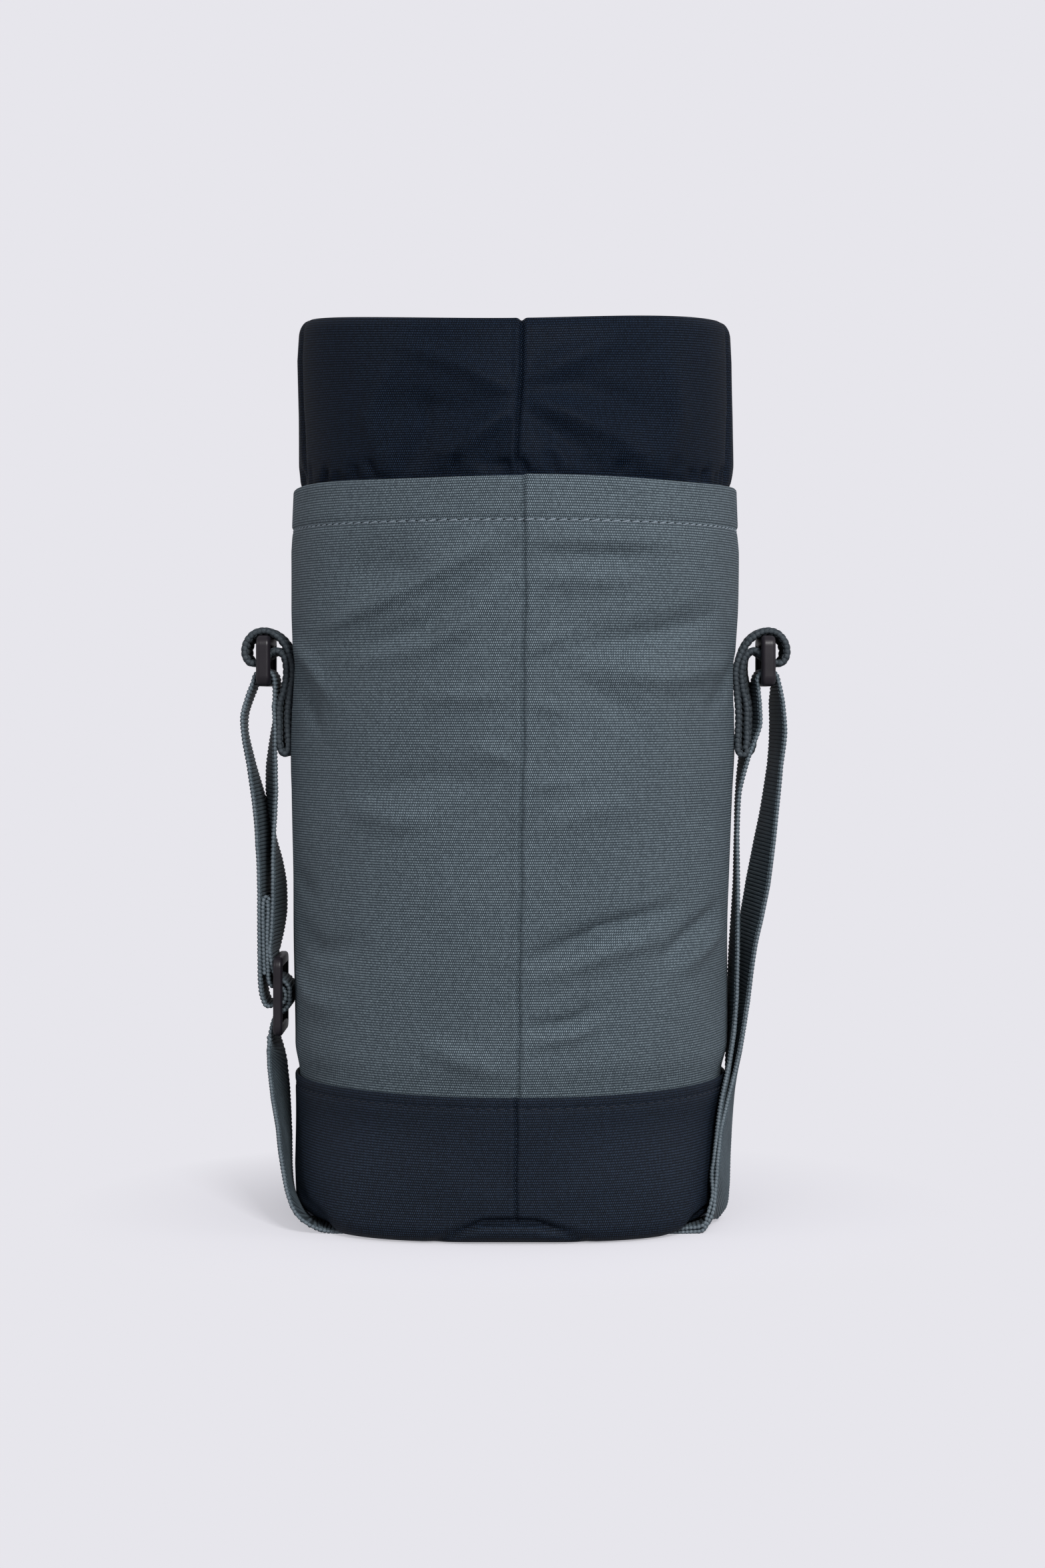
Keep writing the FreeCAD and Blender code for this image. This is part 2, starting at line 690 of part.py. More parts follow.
new_shape("strap_sewn_end", band(sewn_end, down, down))

# The loop of tape inside, sewn into the bottom, that the rope's end is tied to.
loop_foot = size("liner_height") + size("liner_thickness") + gap + size("loop_wall") / 2
loop_half = size("loop_span") / 2
crown = Vector(0, 0, loop_foot + size("loop_height") - loop_half)
loop_path = [Vector(-loop_half, 0, loop_foot)] + arc_points(crown, loop_half, 180, 0, LOOP_STEPS)
loop_path += [Vector(loop_half, 0, loop_foot)]
new_shape("rope_tie_in_loop", offset_band(loop_path, size("loop_wall"), size("loop_width")),
          FreeCAD.Placement(Vector(0, size("loop_setback"), 0), FreeCAD.Rotation()))

doc.recompute()
for item in doc.Objects:
    if "Invalid" in item.State or "Error" in item.State:
        raise RuntimeError(f"{item.Label} did not recompute: {item.State}")
for piece in pieces:
    if piece.Shape.isNull() or not piece.Shape.isValid() or len(piece.Shape.Solids) != 1:
        raise RuntimeError(f"{piece.Label} is not one valid solid")

os.makedirs("parts", exist_ok=True)
for piece in pieces:
    piece.Shape.exportStep(f"parts/{piece.Label}.step")
    print(f"{piece.Label}: {piece.Shape.Volume:.0f} mm3")
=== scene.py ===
"""Rope storage bag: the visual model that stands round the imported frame. Lengths are in metres."""
import enum
import logging
import math
from dataclasses import astuple, dataclass, field
from typing import Sequence

import bpy
import numpy as np
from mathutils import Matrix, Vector


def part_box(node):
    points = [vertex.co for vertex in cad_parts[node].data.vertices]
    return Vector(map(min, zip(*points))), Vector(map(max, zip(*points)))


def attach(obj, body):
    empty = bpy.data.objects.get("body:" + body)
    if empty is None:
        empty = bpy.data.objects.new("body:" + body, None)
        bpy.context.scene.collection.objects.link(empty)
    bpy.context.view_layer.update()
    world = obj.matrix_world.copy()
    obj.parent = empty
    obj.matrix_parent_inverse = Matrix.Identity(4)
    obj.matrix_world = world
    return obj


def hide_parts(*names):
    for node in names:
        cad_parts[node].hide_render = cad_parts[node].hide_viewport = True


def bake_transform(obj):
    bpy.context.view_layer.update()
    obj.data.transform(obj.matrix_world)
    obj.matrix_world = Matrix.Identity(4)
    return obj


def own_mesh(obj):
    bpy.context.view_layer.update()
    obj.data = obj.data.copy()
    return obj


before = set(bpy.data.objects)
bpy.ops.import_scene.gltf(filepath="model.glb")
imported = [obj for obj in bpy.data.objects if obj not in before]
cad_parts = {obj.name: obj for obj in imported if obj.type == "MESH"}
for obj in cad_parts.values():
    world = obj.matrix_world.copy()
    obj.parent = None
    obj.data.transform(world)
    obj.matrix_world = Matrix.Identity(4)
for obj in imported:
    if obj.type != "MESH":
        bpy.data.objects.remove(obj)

LOG = logging.getLogger("rope_bag")
MM = 0.001
CLOTH_MAP = "cloth"
OUT = "out"
BAG_RADIUS = 87.0
COLLAR_RADIUS = 84.0
GROOVE_HALF = 0.8
STITCH_SAMPLES = 520
Colour = tuple[float, float, float]


def tone(red: int, green: int, blue: int) -> Colour:
    """Scene colour of a screen colour.

    Args:
        red: red from 0 to 255.
        green: green from 0 to 255.
        blue: blue from 0 to 255.

    Returns:
        The three linear shares.
    """
    shares = [value / 255 for value in (red, green, blue)]
    return tuple(s / 12.92 if s <= 0.04045 else ((s + 0.055) / 1.055) ** 2.4 for s in shares)


PAPER = tone(231, 230, 236)


# ---------------------------------------------------------------- shader arithmetic


class Wire:
    """A shader value that takes part in Python arithmetic."""

    def __init__(self, dye: "Dye", socket: bpy.types.NodeSocket) -> None:
        """Keeps the socket and the dye that it belongs to."""
        self.dye = dye
        self.socket = socket

    def __add__(self, other: "Wire | float") -> "Wire":
        """self + other."""
        return self.dye.maths("ADD", self, other)

    def __radd__(self, other: float) -> "Wire":
        """other + self."""
        return self.dye.maths("ADD", other, self)

    def __sub__(self, other: "Wire | float") -> "Wire":
        """self - other."""
        return self.dye.maths("SUBTRACT", self, other)

    def __rsub__(self, other: float) -> "Wire":
        """other - self."""
        return self.dye.maths("SUBTRACT", other, self)

    def __mul__(self, other: "Wire | float") -> "Wire":
        """self * other."""
        return self.dye.maths("MULTIPLY", self, other)

    def __rmul__(self, other: float) -> "Wire":
        """other * self."""
        return self.dye.maths("MULTIPLY", other, self)

    def __truediv__(self, other: "Wire | float") -> "Wire":
        """self / other."""
        return self.dye.maths("DIVIDE", self, other)

    def __rtruediv__(self, other: float) -> "Wire":
        """other / self."""
        return self.dye.maths("DIVIDE", other, self)

    def __abs__(self) -> "Wire":
        """The size of self without its sign."""
        return self.dye.maths("ABSOLUTE", self)

    def floor(self) -> "Wire":
        """The whole number below self."""
        return self.dye.maths("FLOOR", self)

    def fraction(self) -> "Wire":
        """What is left of self above its whole number."""
        return self.dye.maths("FRACT", self)

    def modulo(self, other: float) -> "Wire":
        """The remainder of self over other."""
        return self.dye.maths("MODULO", self, other)

    def sine(self) -> "Wire":
        """The sine of self."""
        return self.dye.maths("SINE", self)

    def above(self, other: float) -> "Wire":
        """1 where self is over other, else 0."""
        return self.dye.maths("GREATER_THAN", self, other)

    def held(self) -> "Wire":
        """self, kept between 0 and 1."""
        return self.dye.maths("MAXIMUM", self.dye.maths("MINIMUM", self, 1.0), 0.0)


class Dye:
    """A material while its nodes are being laid."""

    def __init__(self, name: str) -> None:
        """Makes an empty material of that name."""
        self.material = bpy.data.materials.new(name)
        self.material.use_nodes = True
        self.tree = self.material.node_tree
        self.tree.nodes.clear()

    def node(self, kind: str, settings: dict | None = None, feeds: dict | None = None) -> bpy.types.Node:
        """Lays one node.

        Args:
            kind: the node's type name.
            settings: its own properties, such as a Math node's operation.
            feeds: a value or a Wire for each named or numbered input.

        Returns:
            The node.
        """
        made = self.tree.nodes.new(kind)
        for key, value in (settings or {}).items():
            setattr(made, key, value)
        for key, value in (feeds or {}).items():
            if isinstance(value, Wire):
                self.tree.links.new(value.socket, made.inputs[key])
            elif isinstance(value, tuple) and len(value) == 3 and made.inputs[key].type == "RGBA":
                made.inputs[key].default_value = (*value, 1.0)
            else:
                made.inputs[key].default_value = value
        return made

    def wire(self, made: bpy.types.Node, output: int | str = 0) -> Wire:
        """One output of a node as a Wire."""
        return Wire(self, made.outputs[output])

    def maths(self, operation: str, *values: "Wire | float") -> Wire:
        """A Math node's result for one or two values."""
        made = self.node("ShaderNodeMath", {"operation": operation}, dict(enumerate(values)))
        return self.wire(made)

    def blend(self, share: "Wire | float", first: "Wire | Colour", second: "Wire | Colour") -> Wire:
        """A colour between two colours.

        Args:
            share: 0 gives the first and 1 the second.
            first: a colour.
            second: a colour.

        Returns:
            The mixed colour.
        """
        made = self.node("ShaderNodeMix", {"data_type": "RGBA"}, {0: share, 6: first, 7: second})
        return self.wire(made, 2)

    def cloth_axes(self) -> tuple[Wire, Wire]:
        """Metres along the cloth's own two directions.

        Returns:
            The distance along the cloth and the distance up it.
        """
        place = self.node("ShaderNodeUVMap", {"uv_map": CLOTH_MAP})
        split = self.node("ShaderNodeSeparateXYZ", feeds={"Vector": self.wire(place)})
        return self.wire(split, 0), self.wire(split, 1)

    def object_place(self) -> Wire:
        """The point's place on the object."""
        return self.wire(self.node("ShaderNodeTexCoord"), "Object")

    def mottle(self, scale: float, detail: float = 2.0) -> Wire:
        """Soft unevenness, from 0 to 1.

        Args:
            scale: how many patches fit in a metre.
            detail: how many finer layers are added.

        Returns:
            The unevenness.
        """
        made = self.node("ShaderNodeTexNoise", feeds={
            "Vector": self.object_place(), "Scale": scale, "Detail": detail})
        return self.wire(made, "Fac")

    def relief(self, height: Wire, depth: float, strength: float) -> Wire:
        """The surface direction of a fine relief.

        Args:
            height: the relief from 0 to 1.
            depth: how deep it is, in metres.
            strength: how much of it shows.

        Returns:
            A normal for the shader.
        """
        made = self.node("ShaderNodeBump", feeds={
            "Strength": strength, "Distance": depth, "Height": height})
        return self.wire(made)

    def finish(self, **feeds: "Wire | float | Colour") -> bpy.types.Material:
        """Closes the material with a shader that takes these inputs, their spaces written as _.

        Args:
            feeds: a value or a Wire for each input.

        Returns:
            The material.
        """
        shader = self.node("ShaderNodeBsdfPrincipled", feeds={
            key.replace("_", " "): value for key, value in feeds.items()})
        out = self.node("ShaderNodeOutputMaterial")
        self.tree.links.new(shader.outputs[0], out.inputs["Surface"])
        return self.material


# ---------------------------------------------------------------- finishes


@dataclass(frozen=True)
class PlainWeave:
    """Heavy plain-woven cloth, whose raised thread crowns are set off from row to row; its colour runs from
    the threads' own tone on the crowns to a dark tone in the gaps between them, which is painted shade.
    """

    name: str
    # The gap tone is the dark colour in the gaps between the crowns, painted shade; the crown tone is the
    # threads' own colour.
    gap: Colour
    crown: Colour
    warp: float = 0.68 * MM
    row: float = 0.95 * MM
    depth: float = 0.30 * MM
    strength: float = 0.75
    wander: float = 0.3
    crown_height: float = 1.16
    fall_across: float = 5.2
    fall_along: float = 3.2
    rough: float = 0.62
    sheen: float = 0.12
    gloss: float = 0.22

    def make(self) -> bpy.types.Material:
        """Lays the cloth's nodes.

        Returns:
            The material.
        """
        dye = Dye(self.name)
        along, up = dye.cloth_axes()
        wander = (dye.mottle(26.0, 1.0) - 0.5) * self.wander
        line = up / self.row + wander
        row = line.floor()
        across = along / self.warp + row.modulo(2.0) * 0.5 + wander
        from_middle = across.fraction() - 0.5
        from_line = line.fraction() - 0.5
        bump = (self.crown_height - from_middle * from_middle * self.fall_across
                - from_line * from_line * self.fall_along).held()
        cell = dye.node("ShaderNodeCombineXYZ", feeds={0: across.floor(), 1: row})
        speck = dye.wire(dye.node("ShaderNodeTexWhiteNoise", {"noise_dimensions": "2D"},
                                  {"Vector": dye.wire(cell)}))
        patches = dye.mottle(24.0, 4.0)
        fleck = 0.62 + speck * 0.5
        wear = 0.80 + patches * 0.4
        # The colour follows the relief and is dark in the gaps between the crowns: painted shade, over
        # random flecks and patches of the threads' tone.
        share = (bump * bump * fleck * wear).held()
        return dye.finish(
            Base_Color=dye.blend(share, self.gap, self.crown),
            Roughness=self.rough + patches * 0.1 - bump * 0.08,
            Normal=dye.relief(bump, self.depth, self.strength),
            Sheen_Weight=self.sheen,
            Sheen_Roughness=0.5,
            Specular_IOR_Level=self.gloss,
        )


@dataclass(frozen=True)
class RibbedWebbing:
    """Flat webbing between its ribs: fine threads along it, with lighter edges; its colour is darker in the
    grooves of the fibres and ribs, following their relief, which is painted shade.
    """

    name: str
    shade: Colour
    light: Colour
    rib: float = 1.5 * MM
    fibre: float = 0.9 * MM
    half_width: float = 12.5 * MM
    edge_from: float = 0.88
    rough: float = 0.55

    def make(self) -> bpy.types.Material:
        """Lays the webbing's nodes.

        Returns:
            The material.
        """
        dye = Dye(self.name)
        across, along = dye.cloth_axes()
        edge = abs(across).above(self.half_width * self.edge_from)
        fibre = (across * (2 * math.pi / self.fibre)).sine() * 0.5 + 0.5
        twill = (along * (2 * math.pi / self.rib)).sine() * 0.5 + 0.5
        wear = dye.mottle(160.0, 3.0)
        # The fibre and rib terms darken the colour in the grooves of the relief: painted shade; the edges
        # and the random patches are the webbing's own tone.
        share = (fibre * 0.25 + twill * 0.35 + edge * 0.3 + (wear - 0.5) * 0.5).held()
        return dye.finish(
            Base_Color=dye.blend(share, self.shade, self.light),
            Roughness=self.rough + wear * 0.12,
            Normal=dye.relief(fibre * 0.4 + twill * 0.6, 0.2 * MM, 0.6),
            Sheen_Weight=0.03,
            Specular_IOR_Level=0.2,
        )


@dataclass(frozen=True)
class Yarn:
    """Sewing thread or the raised yarns of a webbing."""

    name: str
    shade: Colour
    light: Colour
    rough: float = 0.5
    twist: float = 1400.0

    def make(self) -> bpy.types.Material:
        """Lays the yarn's nodes.

        Returns:
            The material.
        """
        dye = Dye(self.name)
        fuzz = dye.mottle(self.twist, 2.0)
        cast = dye.mottle(120.0, 2.0)
        share = (fuzz * 0.9 + (cast - 0.5) * 0.6).held()
        return dye.finish(
            Base_Color=dye.blend(share, self.shade, self.light),
            Roughness=self.rough + fuzz * 0.15,
            Normal=dye.relief(fuzz, 0.12 * MM, 0.5),
            Sheen_Weight=0.03,
            Specular_IOR_Level=0.2,
        )


@dataclass(frozen=True)
class MouldedPlastic:
    """Satin moulded plastic with a fine grain and lighter patches of painted sheen."""

    name: str
    shade: Colour
    # The second tone, lighter and laid on in random patches, is painted sheen.
    painted_sheen: Colour
    rough: float = 0.36

    def make(self) -> bpy.types.Material:
        """Lays the plastic's nodes.

        Returns:
            The material.
        """
        dye = Dye(self.name)
        grain = dye.mottle(2600.0, 2.0)
        # Random patches where the lighter tone shows: painted sheen.
        sheen_patches = dye.mottle(70.0, 4.0)
        return dye.finish(
            Base_Color=dye.blend((sheen_patches * 1.4 - 0.3).held(), self.shade, self.painted_sheen),
            Roughness=self.rough + (sheen_patches - 0.5) * 0.16 + grain * 0.06,
            Normal=dye.relief(grain, 0.05 * MM, 0.35),
            Specular_IOR_Level=0.5,
        )


@dataclass(frozen=True)
class PaleFloor:
    """The pale studio sweep: it takes the bag's shadow near it, and is one even tone further out."""

    name: str
    colour: Colour
    glow: float
    share: float
    lit_reach: float = 0.085
    even_reach: float = 0.18

    def make(self) -> bpy.types.Material:
        """Lays the sweep's nodes.

        Returns:
            The material.
        """
        dye = Dye(self.name)
        away = dye.wire(dye.node("ShaderNodeVectorMath", {"operation": "LENGTH"},
                                 {0: dye.object_place()}), "Value")
        far = ((away - self.lit_reach) / (self.even_reach - self.lit_reach)).held()
        body = tuple(self.share * value for value in self.colour)
        near = tuple(self.glow * value for value in self.colour)
        return dye.finish(
            Base_Color=dye.blend(far, body, (0.0, 0.0, 0.0)),
            Roughness=0.9,
            Specular_IOR_Level=0.0,
            Emission_Color=dye.blend(far, near, self.colour),
            Emission_Strength=1.0,
        )


@dataclass
class Finishes:
    """Every material of the bag, made once."""

    shell: bpy.types.Material = field(init=False)
    navy: bpy.types.Material = field(init=False)
    # The collar's navy cloth, made darker than the base's same cloth: painted shade.
    throat: bpy.types.Material = field(init=False)
    strap: bpy.types.Material = field(init=False)
    rib: bpy.types.Material = field(init=False)
    edge_yarn: bpy.types.Material = field(init=False)
    tab: bpy.types.Material = field(init=False)
    tab_yarn: bpy.types.Material = field(init=False)
    pale_thread: bpy.types.Material = field(init=False)
    dark_thread: bpy.types.Material = field(init=False)
    # Near-black yarn for the needle holes: painted shade in the holes.
    needle_hole_shade: bpy.types.Material = field(init=False)
    tape: bpy.types.Material = field(init=False)
    plastic: bpy.types.Material = field(init=False)
    board: bpy.types.Material = field(init=False)

    def __post_init__(self) -> None:
        """Makes the materials."""
        self.shell = PlainWeave("shell_cloth", tone(40, 51, 59), tone(146, 163, 173), sheen=0.02).make()
        self.navy = PlainWeave("navy_cloth", tone(3, 6, 12), tone(46, 62, 84), rough=0.6, sheen=0.0).make()
        # The collar's copy of the navy cloth, with darker tones and less gloss: painted shade, as it is the
        # same cloth as the base.
        self.throat = PlainWeave("throat_cloth_painted_shade", tone(2, 4, 9), tone(34, 50, 72), rough=0.5, sheen=0.0,
                                 gloss=0.1).make()
        self.strap = RibbedWebbing("strap_web", tone(38, 46, 52), tone(98, 112, 120)).make()
        self.rib = Yarn("strap_rib", tone(62, 74, 82), tone(112, 126, 134)).make()
        self.edge_yarn = Yarn("strap_edge_yarn", tone(84, 96, 104), tone(146, 158, 166)).make()
        self.tab = RibbedWebbing("tab_web", tone(26, 30, 34), tone(70, 78, 86), rib=2.2 * MM).make()
        self.tab_yarn = Yarn("tab_yarn", tone(44, 51, 56), tone(98, 107, 114)).make()
        self.pale_thread = Yarn("pale_thread", tone(96, 108, 118), tone(168, 180, 190)).make()
        self.dark_thread = Yarn("dark_thread", tone(16, 19, 26), tone(52, 58, 70)).make()
        # The near-black beads at the needle holes are painted shade.
        self.needle_hole_shade = Yarn("needle_hole_shade", tone(10, 12, 16), tone(22, 26, 32), rough=0.8).make()
        self.tape = RibbedWebbing("binding_web", tone(24, 28, 34), tone(62, 70, 80), rib=1.0 * MM).make()
        # The second tone of each plastic is painted sheen in random patches.
        self.plastic = MouldedPlastic("black_plastic", tone(26, 23, 29), tone(48, 42, 50)).make()
        self.board = MouldedPlastic("stiffener_board", tone(40, 42, 46), tone(58, 60, 64)).make()


# ---------------------------------------------------------------- mesh making


def smooth(low: float, high: float, value: np.ndarray) -> np.ndarray:
    """A soft step from 0 at low to 1 at high.

    Args:
        low: where the step starts.
        high: where it ends.
        value: the values to step.

    Returns:
        The stepped values.
    """
    share = np.clip((value - low) / (high - low), 0.0, 1.0)
    return share * share * (3.0 - 2.0 * share)


def new_piece(name: str, mesh: bpy.types.Mesh) -> bpy.types.Object:
    """Puts a mesh in the scene as an object of that name.

    Args:
        name: the object's name.
        mesh: its mesh.

    Returns:
        The object.
    """
    piece = bpy.data.objects.new(name, mesh)
    bpy.context.scene.collection.objects.link(piece)
    return piece


def woven(name: str, points: np.ndarray, flat: np.ndarray, material: bpy.types.Material,
          rows_close: bool = True, columns_close: bool = True) -> bpy.types.Object:
    """A skin of quads over a grid of points.

    Args:
        name: the piece's name.
        points: the grid, rows by columns by 3.
        flat: the cloth map, one row and one column longer than the grid where it closes.
        material: the piece's material.
        rows_close: the last row joins the first.
        columns_close: the last column joins the first.

    Returns:
        The piece.
    """
    rows, columns = points.shape[:2]
    row, column = np.meshgrid(
        np.arange(rows if rows_close else rows - 1),
        np.arange(columns if columns_close else columns - 1), indexing="ij")
    row, column = row.ravel(), column.ravel()
    corners = [(row, column), (row, column + 1), (row + 1, column + 1), (row + 1, column)]
    faces = np.stack([(r % rows) * columns + (c % columns) for r, c in corners], axis=1)
    maps = np.stack([flat[r, c] for r, c in corners], axis=1)
    mesh = bpy.data.meshes.new(name)
    mesh.vertices.add(rows * columns)
    mesh.vertices.foreach_set("co", points.reshape(-1).astype(np.float32))
    mesh.loops.add(faces.size)
    mesh.loops.foreach_set("vertex_index", faces.reshape(-1).astype(np.int32))
    mesh.polygons.add(len(faces))
    mesh.polygons.foreach_set("loop_start", np.arange(0, faces.size, 4, dtype=np.int32))
    mesh.update(calc_edges=True)
    layer = mesh.uv_layers.new(name=CLOTH_MAP)
    layer.data.foreach_set("uv", maps.reshape(-1).astype(np.float32))
    mesh.validate()
    mesh.shade_smooth()
    mesh.materials.append(material)
    return new_piece(name, mesh)


def joined(name: str, pieces: Sequence[bpy.types.Object]) -> bpy.types.Object:
    """Makes several objects one piece.

    Args:
        name: the piece's name.
        pieces: the objects; the first one is kept.

    Returns:
        The one piece.
    """
    first = pieces[0]
    with bpy.context.temp_override(
            active_object=first, object=first, selected_objects=list(pieces),
            selected_editable_objects=list(pieces)):
        bpy.ops.object.join()
    first.name = name
    first.data.name = name
    return first


@dataclass(frozen=True)
class Line:
    """A line on a surface, with the surface's direction at each point."""

    points: np.ndarray
    outs: np.ndarray
    closed: bool = False


class Bead(enum.Enum):
    """The shapes that are repeated along a line."""

    THREAD = "thread"
    RIB = "rib"


@dataclass(frozen=True)
class BeadSize:
    """How big a repeated shape is, in metres, and how it is turned from its line, in radians."""

    pitch: float
    length: float
    width: float
    height: float
    slant: float = 0.0
    stray: float = 0.0


class Trim:
    """Geometry Nodes that repeat a small shape along lines: stitches, ribs and edge yarns."""

    _trees: dict[Bead, bpy.types.NodeTree] = {}
    _inputs = ("Pitch", "Length", "Width", "Height", "Slant", "Stray")
    _seed = 7

    @classmethod
    def tree(cls, bead: Bead) -> bpy.types.NodeTree:
        """The node tree for a shape, built on first use.

        Args:
            bead: the shape.

        Returns:
            The tree.
        """
        if bead not in cls._trees:
            cls._trees[bead] = cls._build(bead)
        return cls._trees[bead]

    @classmethod
    def _build(cls, bead: Bead) -> bpy.types.NodeTree:
        """Builds the tree for a shape.

        Args:
            bead: the shape to repeat.

        Returns:
            The tree, with named inputs for its sizes.
        """
        tree = bpy.data.node_groups.new(f"{bead.value}_along_line", "GeometryNodeTree")
        face = tree.interface
        face.new_socket("Lines", in_out="INPUT", socket_type="NodeSocketGeometry")
        for label in cls._inputs:
            face.new_socket(label, in_out="INPUT", socket_type="NodeSocketFloat")
        face.new_socket("Finish", in_out="INPUT", socket_type="NodeSocketMaterial")
        face.new_socket("Made", in_out="OUTPUT", socket_type="NodeSocketGeometry")

        def node(kind: str, **settings: object) -> bpy.types.Node:
            """Lays one node with its settings."""
            made = tree.nodes.new(kind)
            for key, value in settings.items():
                setattr(made, key, value)
            return made

        def link(source: bpy.types.NodeSocket, target: bpy.types.NodeSocket) -> None:
            """Joins two sockets."""
            tree.links.new(source, target)

        given = node("NodeGroupInput")
        curve = node("GeometryNodeMeshToCurve")
        spots = node("GeometryNodeCurveToPoints", mode="LENGTH")
        out = node("GeometryNodeInputNamedAttribute", data_type="FLOAT_VECTOR")
        out.inputs["Name"].default_value = OUT
        stand = node("FunctionNodeAxesToRotation", primary_axis="X", secondary_axis="Z")
        stray = node("FunctionNodeRandomValue", data_type="FLOAT")
        stray.inputs["Seed"].default_value = cls._seed
        low = node("ShaderNodeMath", operation="SUBTRACT")
        high = node("ShaderNodeMath", operation="ADD")
        lean = node("FunctionNodeAxisAngleToRotation")
        lean.inputs["Axis"].default_value = (0.0, 0.0, 1.0)
        turn = node("FunctionNodeRotateRotation", rotation_space="LOCAL")
        size = node("ShaderNodeCombineXYZ")
        place = node("GeometryNodeInstanceOnPoints")
        real = node("GeometryNodeRealizeInstances")
        shade = node("GeometryNodeSetShadeSmooth")
        paint = node("GeometryNodeSetMaterial")
        done = node("NodeGroupOutput")
        lay = node("GeometryNodeTransform")
        if bead is Bead.THREAD:
            shape = node("GeometryNodeMeshUVSphere")
            shape.inputs["Segments"].default_value = 6
            shape.inputs["Rings"].default_value = 5
            shape.inputs["Radius"].default_value = 0.5
            lay.inputs["Rotation"].default_value = (0.0, math.pi / 2, 0.0)
        else:
            shape = node("GeometryNodeMeshCylinder", fill_type="NGON")
            shape.inputs["Vertices"].default_value = 6
            shape.inputs["Radius"].default_value = 0.5
            shape.inputs["Depth"].default_value = 1.0
            lay.inputs["Rotation"].default_value = (math.pi / 2, 0.0, 0.0)
        link(given.outputs["Lines"], curve.inputs["Mesh"])
        link(curve.outputs["Curve"], spots.inputs["Curve"])
        link(given.outputs["Pitch"], spots.inputs["Length"])
        link(spots.outputs["Tangent"], stand.inputs["Primary Axis"])
        link(out.outputs["Attribute"], stand.inputs["Secondary Axis"])
        for end, sign in ((low, 2), (high, 3)):
            link(given.outputs["Slant"], end.inputs[0])
            link(given.outputs["Stray"], end.inputs[1])
            link(end.outputs[0], stray.inputs[sign])
        link(stray.outputs[1], lean.inputs["Angle"])
        link(stand.outputs["Rotation"], turn.inputs["Rotation"])
        link(lean.outputs["Rotation"], turn.inputs["Rotate By"])
        for axis, label in zip("XYZ", ("Length", "Width", "Height")):
            link(given.outputs[label], size.inputs[axis])
        link(shape.outputs["Mesh"], lay.inputs["Geometry"])
        link(spots.outputs["Points"], place.inputs["Points"])
        link(lay.outputs["Geometry"], place.inputs["Instance"])
        link(turn.outputs["Rotation"], place.inputs["Rotation"])
        link(size.outputs["Vector"], place.inputs["Scale"])
        link(place.outputs["Instances"], real.inputs["Geometry"])
        link(real.outputs["Geometry"], shade.inputs["Geometry"])
        shade.inputs["Shade Smooth"].default_value = bead is Bead.THREAD
        link(shade.outputs["Geometry"], paint.inputs["Geometry"])
        link(given.outputs["Finish"], paint.inputs["Material"])
        link(paint.outputs["Geometry"], done.inputs["Made"])
        return tree

    @classmethod
    def lay(cls, name: str, lines: Sequence[Line], bead: Bead, material: bpy.types.Material,
            size: BeadSize) -> bpy.types.Object:
        """Repeats a shape along lines and returns the plain mesh.

        Args:
            name: the piece's name.
            lines: the lines that the shape follows.
            bead: the shape.
            material: its material.
            size: its sizes and its turn.

        Returns:
            The piece, with no modifier left on it.
        """
        points = np.concatenate([line.points for line in lines])
        outs = np.concatenate([line.outs for line in lines])
        edges, start = [], 0
        for line in lines:
            count = len(line.points)
            edges += [(start + i, start + i + 1) for i in range(count - 1)]
            if line.closed:
                edges.append((start + count - 1, start))
            start += count
        guide = bpy.data.meshes.new(name + "_guide")
        guide.from_pydata(points.tolist(), edges, [])
        away = guide.attributes.new(OUT, "FLOAT_VECTOR", "POINT")
        away.data.foreach_set("vector", outs.reshape(-1).astype(np.float32))
        carrier = new_piece(name + "_guide", guide)
        modifier = carrier.modifiers.new("trim", "NODES")
        modifier.node_group = cls.tree(bead)
        values = dict(zip(cls._inputs, astuple(size)))
        values["Finish"] = material
        for item in modifier.node_group.interface.items_tree:
            if item.in_out == "INPUT" and item.name in values:
                modifier[item.identifier] = values[item.name]
        carrier.update_tag()
        shown = carrier.evaluated_get(bpy.context.evaluated_depsgraph_get())
        mesh = bpy.data.meshes.new_from_object(shown)
        carrier.modifiers.remove(modifier)
        bpy.data.objects.remove(carrier)
        mesh.name = name
        return new_piece(name, mesh)


# ---------------------------------------------------------------- the bag's form


@dataclass(frozen=True)
class Fold:
    """A soft crease of the cloth: its path in degrees and millimetres of height, and its rise."""

    path: tuple[tuple[float, float], ...]
    rise: float
    reach: float
    under: float = 0.0

    def lift(self, angle: np.ndarray, height: np.ndarray, radius: float) -> np.ndarray:
        """How far the crease moves each point outwards, in millimetres.

        Args:
            angle: degrees from the front.
            height: millimetres above the floor.
            radius: the bag's radius in millimetres.

        Returns:
            The outward moves.
        """
        turn = math.pi * radius / 180.0
        place = np.stack([angle * turn, height], axis=-1)
        route = np.array([(a * turn, h) for a, h in self.path])
        total = max(len(route) - 1, 1)
        best = np.full(angle.shape, 1e9)
        share = np.zeros(angle.shape)
        side = np.ones(angle.shape)
        for number, (start, end) in enumerate(zip(route[:-1], route[1:])):
            run = end - start
            along = np.clip(((place - start) @ run) / (run @ run), 0.0, 1.0)
            apart = place - start - along[..., None] * run
            away = np.linalg.norm(apart, axis=-1)
            near = away < best
            best = np.where(near, away, best)
            share = np.where(near, (number + along) / total, share)
            side = np.where(near, np.sign(run[0] * apart[..., 1] - run[1] * apart[..., 0]), side)
        reach = np.where((side < 0) & (self.under > 0), self.under or self.reach, self.reach)
        fade = 0.25 + 0.75 * np.sin(np.pi * np.clip(share, 0.0, 1.0)) ** 0.7
        return self.rise * fade * np.exp(-((best / reach) ** 2))


